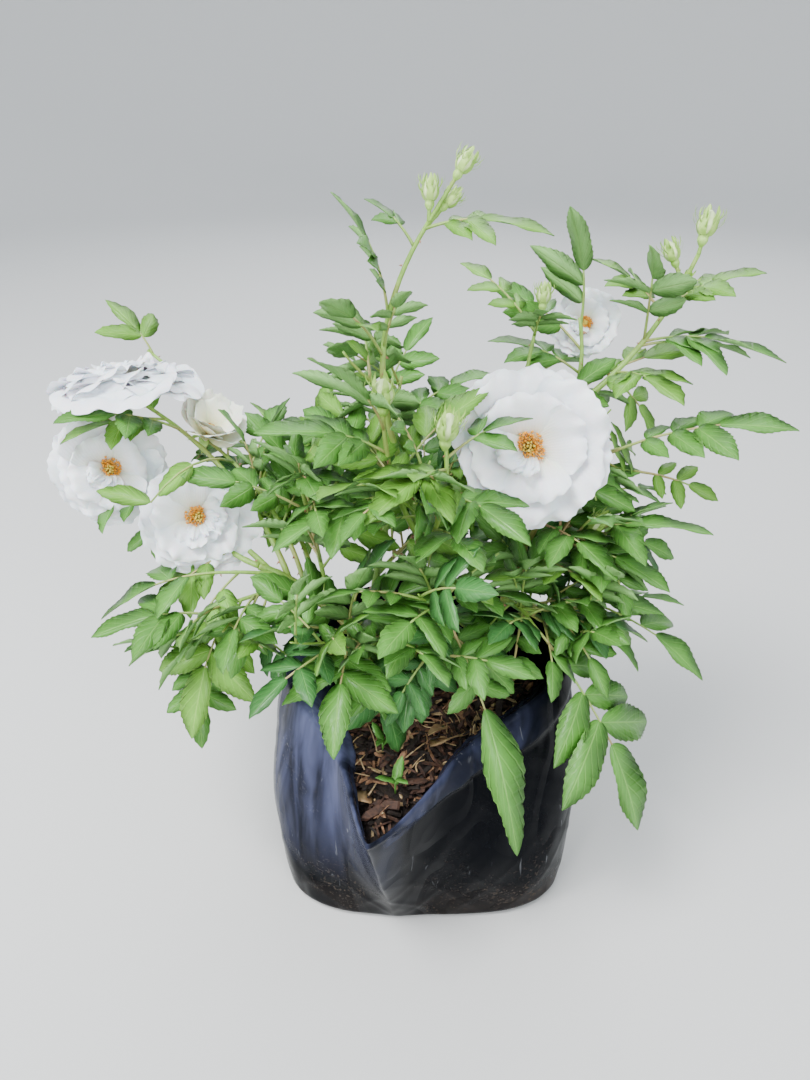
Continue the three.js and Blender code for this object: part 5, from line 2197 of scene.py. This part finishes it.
RINGS = {
    BloomStyle.OPEN: (
        PetalRing(5, 1.04, 0.74, 0.05, 0.0, 0.07, 0),
        PetalRing(5, 0.99, 0.68, 0.2, 0.03, 0.075, 34),
        PetalRing(4, 0.72, 0.52, 0.38, 0.1, 0.07, 12),
        PetalRing(3, 0.42, 0.24, 0.5, 0.2, 0.1, 190, 34),
        PetalRing(3, 0.34, 0.12, 0.42, 0.34, 0.12, 205, 30),
    ),
    BloomStyle.FULL: (
        PetalRing(5, 1.04, 0.72, 0.05, 0.0, 0.055, 0),
        PetalRing(6, 0.98, 0.62, 0.16, 0.02, 0.06, 26),
        PetalRing(5, 0.76, 0.5, 0.3, 0.06, 0.07, 10),
        PetalRing(4, 0.5, 0.3, 0.42, 0.16, 0.1, 240, 40),
        PetalRing(4, 0.36, 0.14, 0.46, 0.3, 0.13, 250, 34),
    ),
    BloomStyle.CUPPED: (
        PetalRing(5, 1.04, 0.88, 0.16, 0.12, 0.03, 0),
        PetalRing(5, 0.94, 0.8, 0.32, 0.4, 0.03, 36),
        PetalRing(4, 0.74, 0.66, 0.48, 0.72, 0.04, 20),
    ),
    BloomStyle.DOMED: (
        PetalRing(5, 1.06, 0.8, 0.08, -0.37, 0.055, 0),
        PetalRing(6, 1.02, 0.7, 0.13, -0.36, 0.055, 32),
        PetalRing(6, 0.88, 0.6, 0.19, -0.35, 0.055, 8),
        PetalRing(5, 0.68, 0.52, 0.25, -0.34, 0.055, 44),
        PetalRing(5, 0.48, 0.4, 0.3, -0.34, 0.055, 20),
        PetalRing(5, 0.3, 0.26, 0.33, -0.3, 0.055, 56),
    ),
}


@dataclass(frozen=True)
class Blossom:
    """The blooms and buds: rings of ruffled petals, stamens, hips and sepals."""

    rows: int = 14
    columns: int = 26
    end_rounding: float = 0.3
    notch: float = 0.05
    scallops: Span = (0.018, 0.012)
    dish: float = 0.6
    overlap: float = 0.045
    edge_rise: float = 0.1
    folds: float = 0.3
    frill: float = 0.42
    tip_curl: float = 0.1
    widest: float = 39
    stamens: int = 96
    stamen_reach: float = 0.22
    stamen_height: float = 0.34
    stigma_share: float = 0.14
    low_stamens: float = 0.2
    full_from: float = 0.42
    cupped_from: float = 0.6
    domed_to: float = 0.29
    small: float = 25
    filament: Span = (0.24, 0.18)
    anther: Triple = (1.25, 0.85, 0.75)
    anther_tilt: float = 0.6
    lathe_sides: int = 20
    hip_length: float = 9
    hip_radius: float = 3.6
    hip_lobes: float = 0.04
    sepal_width: float = 5
    sepal_reach: float = 0.42
    bud_lobes: float = 0.05
    bud_profile: tuple[Span, ...] = (
        (0.09, -0.45), (0.2, -0.3), (0.28, -0.12), (0.24, 0.06), (0.36, 0.2), (0.48, 0.42),
        (0.5, 0.64), (0.42, 0.9), (0.27, 1.12), (0.1, 1.26), (0.02, 1.3),
    )
    bud_sepal: float = 0.52
    calyx_top: float = 0.12
    side_lobe: float = 0.1
    side_lobes: tuple[Triple, ...] = ((0.34, 0.45, 0.62), (-0.3, 0.62, 0.7), (0.2, 0.85, 0.6))

    def style(self, bloom: Bloom) -> BloomStyle:
        """The style that a bloom's depth gives."""
        if bloom.cup > self.cupped_from:
            return BloomStyle.CUPPED
        if bloom.cup < self.domed_to:
            return BloomStyle.DOMED
        full = bloom.cup > self.full_from and bloom.radius > self.small
        return BloomStyle.FULL if full else BloomStyle.OPEN

    def petals(self, bloom: Bloom, ring: PetalRing, seed: int) -> Array:
        """One ring of petals.

        A petal runs out from the heart by u and across by v from -1 to 1. Its width grows as
        a sine of u and its end is rounded and a little notched. Its height is the ring's lift
        times 1 - (1-u)^2.2 and a cup with the square of the distance; its edges rise with v
        squared, one edge lies over the next petal, soft folds run along it, and two waves
        ruffle the rim.

        Args:
            bloom: where the bloom is.
            ring: the ring's shape.
            seed: the seed of its small differences.

        Returns:
            Points of shape petals, rows + 1, columns + 1, 3.
        """
        rng = np.random.default_rng(seed)
        many = ring.count
        u = np.linspace(0, 1, self.rows + 1)[None, :, None]
        v = np.linspace(-1, 1, self.columns + 1)[None, None, :]
        vary = rng.uniform(0.88, 1.08, (3, many, 1, 1))
        turns = rng.uniform(0, 6.28, (3, many, 1, 1))
        reach = bloom.radius * ring.reach * vary[0]
        half = bloom.radius * ring.width * vary[1]
        out = reach * u * (1 - self.end_rounding * np.abs(v) ** 2.4 * u)
        off_middle = (v - 0.15 * np.sin(turns[0])) / 0.2
        out = out - self.notch * reach * np.exp(-(off_middle**2)) * u**6
        broad, fine = self.scallops
        scallop = broad * np.sin(11 * v + turns[1]) + fine * np.sin(25 * v + turns[2])
        out = out + reach * scallop * u**6
        across = v * half * (0.2 + 0.8 * np.sin(np.pi / 2 * u**0.8)) * (1 - 0.12 * u**6)
        lift = ring.lift * (1 - (1 - u) ** 2.2)
        dish = (self.dish * bloom.cup + ring.cup) * (out / bloom.radius) ** 2
        rise = lift * vary[2] + dish
        overlap = self.overlap * v * u
        edges = self.edge_rise * ring.width * v**2 * (0.3 + u)
        waves = ring.ruffle * np.sin(3.1 * v + turns[2]) * u**3
        folds = ring.ruffle * self.folds * np.sin(8 * v + turns[1] + 1.5 * u) * u**1.5
        frill = ring.ruffle * self.frill * np.sin(13 * v + turns[0]) * u**6
        curl = -self.tip_curl * u**7
        height = bloom.radius * (rise + overlap + edges + waves + folds + frill + curl)
        step = ring.step or 360 / many
        place = np.radians(ring.phase + np.arange(many) * step + rng.uniform(-6, 6, many))
        return bloom.polar(place[:, None, None], out, across, height)

    def build(self, growths: list[Growth]) -> None:
        """Makes all petals, stamens and green flower parts."""
        petals, hearts, green = Shell(), Shell(), Shell()
        for number, growth in enumerate(growths):
            if growth.bloom:
                style = self.style(growth.bloom)
                cream = int(style is BloomStyle.CUPPED)
                for index, ring in enumerate(RINGS[style]):
                    petals.add_grids(self.petals(growth.bloom, ring, number * 10 + index), slots=cream)
                self._stamens(growth.bloom, hearts, number)
                self._calyx(growth.bloom, green)
            for bud in growth.buds:
                self._bud(bud, green)
        petals.piece("petals", [WHITE_PETAL.build(), CREAM_PETAL.build()])
        hearts.piece("stamens", [f.build() for f in (FILAMENT, ANTHER, STIGMA)])
        greens = [f.build() for f in (CALYX_GREEN, SEPAL_GREEN, BUD_WHITE)]
        green.piece("buds_and_sepals", greens)

    def _stamens(self, bloom: Bloom, shell: Shell, seed: int) -> None:
        """A tuft of filaments a golden angle apart, each with an anther on its end.

        Args:
            bloom: where the bloom is.
            shell: where they are added.
            seed: the seed of their small differences.
        """
        rng = np.random.default_rng(seed)
        many = int(self.stamens * min(bloom.radius / self.widest, 1) ** 0.5)
        turn = np.radians(np.arange(many) * GOLDEN_ANGLE)
        spread = np.sqrt((np.arange(many) + 0.5) / many)
        flat = bloom.side * np.cos(turn)[:, None] + bloom.up * np.sin(turn)[:, None]
        reach = bloom.radius * self.stamen_reach * spread[:, None] * rng.uniform(0.8, 1.1, (many, 1))
        stand = self.low_stamens if self.style(bloom) is BloomStyle.DOMED else self.stamen_height
        high = bloom.radius * (stand - 0.1 * spread[:, None]) * rng.uniform(0.8, 1.15, (many, 1))
        out, up = flat * reach, bloom.along * high
        foot, tip = bloom.place + out * 0.3, bloom.place + out + up
        bend = bloom.place + out * 0.6 + up * 0.7
        radius = np.linspace(*self.filament, 4)
        arcs = [Arc(foot[i], bend[i], tip[i], heading_of(flat[i])) for i in range(many)]
        shell.add_grids(np.stack([arc.rings(radius, 3) for arc in arcs]), wrap=True)
        corners = np.array([[1, 0, 0], [0, 1, 0], [-1, 0, 0], [0, -1, 0], [0, 0, 1], [0, 0, -1]])
        size = np.array(self.anther) * (0.6 + 0.4 * bloom.radius / self.widest)
        block = tip[:, None] + (corners * size)[None] @ tumbles(rng, many, self.anther_tilt)
        faces = [[i, (i + 1) % 4, 4] for i in range(4)] + [[(i + 1) % 4, i, 5] for i in range(4)]
        kinds = np.where(spread**2 < self.stigma_share, 2, 1)
        shell.add_blocks(block, np.array(faces), kinds)

    def _lathe(self, frame: Frame, radius: Array, height: Array, lobes: float) -> Array:
        """A turned skin with five shallow lobes: radius (1 + lobes cos 5a) round its axis.

        Args:
            frame: its foot and its axis.
            radius: the radius of each ring.
            height: the height of each ring.
            lobes: the depth of the lobes as a share of the radius.

        Returns:
            Points of shape rings, sides, 3.
        """
        a = corner_angles(self.lathe_sides)[None]
        out = radius[:, None] * (1 + lobes * np.cos(5 * a))
        return frame.polar(a, out, 0.0, height[:, None])

    @staticmethod
    def _sepals(
        frame: Frame, radius: Array, height: Array, width: float, turn: float = 0
    ) -> Array:
        """Five narrow strips round an axis that taper to a thread.

        Args:
            frame: their foot and their axis.
            radius: the distance from the axis at each step.
            height: the height at each step.
            width: the width near the foot.
            turn: how far they are turned round the axis, in radians.

        Returns:
            Points of shape 5, steps, 3, 3.
        """
        a = (turn + corner_angles(5))[:, None, None]
        u = np.linspace(0, 1, len(radius))[None, :, None]
        v = np.array([-1.0, 0, 1])[None, None]
        half = width / 2 * (0.7 + 0.9 * u) * (1 - u) ** 0.8 + 0.1
        out = radius[None, :, None] - 0.25 * half * v**2
        return frame.polar(a, out, v * half, height[None, :, None])

    def _calyx(self, bloom: Bloom, shell: Shell) -> None:
        """Adds a bloom's hip and its five sepals, bent back under the petals."""
        frame = Frame.about(bloom.place, bloom.along)
        t = np.linspace(0, 1, 12)
        radius = self.hip_radius * np.sin(np.pi * np.clip(t * 0.86 + 0.07, 0, 1)) ** 0.6
        hip = self._lathe(frame, radius, self.hip_length * (t - 1.0), self.hip_lobes)
        shell.add_grids(hip, wrap=True, caps=True)
        s = np.linspace(0, 1, 9)
        reach = 2 + bloom.radius * self.sepal_reach * s
        fall = -1.5 + 3 * s - 9 * s**2
        shell.add_grids(self._sepals(frame, reach, fall, self.sepal_width), slots=1)

    def _bud(self, bud: Bud, shell: Shell) -> None:
        """Adds a closed bud on its hip, wrapped in sepals whose tips stand past it."""
        frame, wide = bud.frame, bud.width
        outs, ups = np.array(self.bud_profile).T * wide
        t = np.linspace(0, len(outs) - 1, 30)
        radius, height = (np.interp(t, np.arange(len(outs)), row) for row in (outs, ups))
        radius[1:-1] = (radius[:-2] + radius[1:-1] * 2 + radius[2:]) / 4
        skin = self._lathe(frame, radius, height, self.bud_lobes)
        cut = int(np.searchsorted(height, self.calyx_top * wide))
        shell.add_grids(skin[: cut + 1], wrap=True, caps=True)
        shell.add_grids(skin[cut:], wrap=True, caps=True, slots=2)
        s = np.linspace(0, 1, 12)
        high = wide * (self.calyx_top + 1.42 * s)
        free = wide * (0.36 + 0.16 * np.sin(3.1 * s))
        reach = np.where(high < wide, np.interp(high, height, radius) + 0.35, free)
        shell.add_grids(self._sepals(frame, reach, high, wide * self.bud_sepal), slots=1)
        t = np.linspace(0, 1, 6)
        for turn, foot, rise in self.side_lobes:
            high, out = wide * (foot + rise * t), wide * (0.5 + 0.3 * np.sin(2.2 * t))
            lobes = self._sepals(frame, out, high, wide * self.side_lobe, turn)
            shell.add_grids(lobes, slots=1)


# The studio


@dataclass(frozen=True)
class Lamp:
    """A soft square light: its place in metres, its size and its power."""

    name: str
    place: Triple
    size: float
    power: float


@dataclass(frozen=True)
class Studio:
    """The pale round floor, soft lights and a camera at the photograph's angle."""

    sensor: float = 36
    nearest: float = 0.01
    floor_reach: float = 2.2
    floor_bend: float = 1.0
    wall_height: float = 3.2
    floor_sides: int = 96
    sky: Colour = (0.78, 0.88, 1.0)
    sky_strength: float = 1.28
    aim: Triple = (0, 0, 0.2)
    lamps: tuple[Lamp, ...] = (
        Lamp("key", (-0.6, -0.5, 1.8), 0.7, 47),
        Lamp("side", (-1.4, -0.5, 0.8), 0.5, 17),
        Lamp("fill", (0.6, -1.7, 1.1), 1.2, 31),
        Lamp("back", (0.3, 1.4, 1.3), 1.2, 16),
    )

    def build(self) -> None:
        """Makes the floor, the lights, the sky and the camera."""
        self._floor()
        for lamp in self.lamps:
            self._light(lamp)
        world = bpy.data.worlds.new("sky")
        world.use_nodes = True
        shade = world.node_tree.nodes["Background"]
        shade.inputs[0].default_value = (*self.sky, 1)
        shade.inputs[1].default_value = self.sky_strength
        bpy.context.scene.world = world
        self._camera()

    def _floor(self) -> None:
        """A round floor that turns up into a wall all round, so that no horizon shows."""
        turn = np.linspace(0, math.pi / 2, 12)[1:]
        bent = self.floor_reach + self.floor_bend * np.sin(turn)
        risen = self.floor_bend * (1 - np.cos(turn))
        radius = np.concatenate([[0.01, 1, self.floor_reach], bent, bent[-1:]])
        height = np.concatenate([[0, 0, 0], risen, [self.wall_height]])
        sides = self.floor_sides
        a = corner_angles(sides)
        out = radius[:, None]
        points = np.stack(np.broadcast_arrays(out * np.cos(a), out * np.sin(a), height[:, None]), -1)
        i, j = np.meshgrid(np.arange(len(radius) - 1), np.arange(sides), indexing="ij")
        k = (j + 1) % sides
        faces = np.stack([i * sides + j, (i + 1) * sides + j, (i + 1) * sides + k, i * sides + k], -1)
        faces = faces.reshape(-1, 4).tolist() + [list(range(sides))]
        mesh = bpy.data.meshes.new("floor")
        mesh.from_pydata(points.reshape(-1, 3).tolist(), [], faces)
        mesh.polygons.foreach_set("use_smooth", np.full(len(faces), True))
        mesh.materials.append(FloorFinish().build())
        linked("floor", mesh)

    def _light(self, lamp: Lamp) -> None:
        """Makes one light that looks at the plant's middle."""
        light = bpy.data.lights.new(lamp.name, "AREA")
        light.size = lamp.size
        light.energy = lamp.power
        made = linked(lamp.name, light)
        made.location = lamp.place
        x, y, z = np.array(self.aim) - np.array(lamp.place)
        tilt = math.pi / 2 + math.atan2(z, math.hypot(x, y))
        made.rotation_euler = (tilt, 0, math.atan2(y, x) - math.pi / 2)

    def _camera(self) -> None:
        """A camera that looks along +Y and down, with the lens of the photograph."""
        eye = bpy.data.cameras.new("camera")
        eye.sensor_width = self.sensor
        eye.lens = VIEW.focal / max(IMAGE_WIDTH, IMAGE_HEIGHT) * self.sensor
        eye.clip_start = self.nearest
        made = linked("camera", eye)
        made.location = np.array(VIEW.place) * MM
        made.rotation_euler = (math.radians(90 - VIEW.pitch_down), 0, 0)
        bpy.context.scene.camera = made


def main() -> None:
    """Builds the bag, its filling, the plant and the studio."""
    logging.basicConfig(level=logging.INFO, format="%(name)s: %(message)s")
    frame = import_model()
    BAG.build()
    Medium().build()
    bush = Bush()
    bush.grow(frame["nodes"])
    Wood().build(bush)
    by_name = {g.row.name: g for g in bush.growths}
    for region in Region:
        FOLIAGE.build(region, [by_name[name] for name in region.value])
    FOLIAGE.build_stalks(bush.growths)
    Blossom().build(bush.growths)
    Studio().build()


if __name__ == "__main__":
    main()
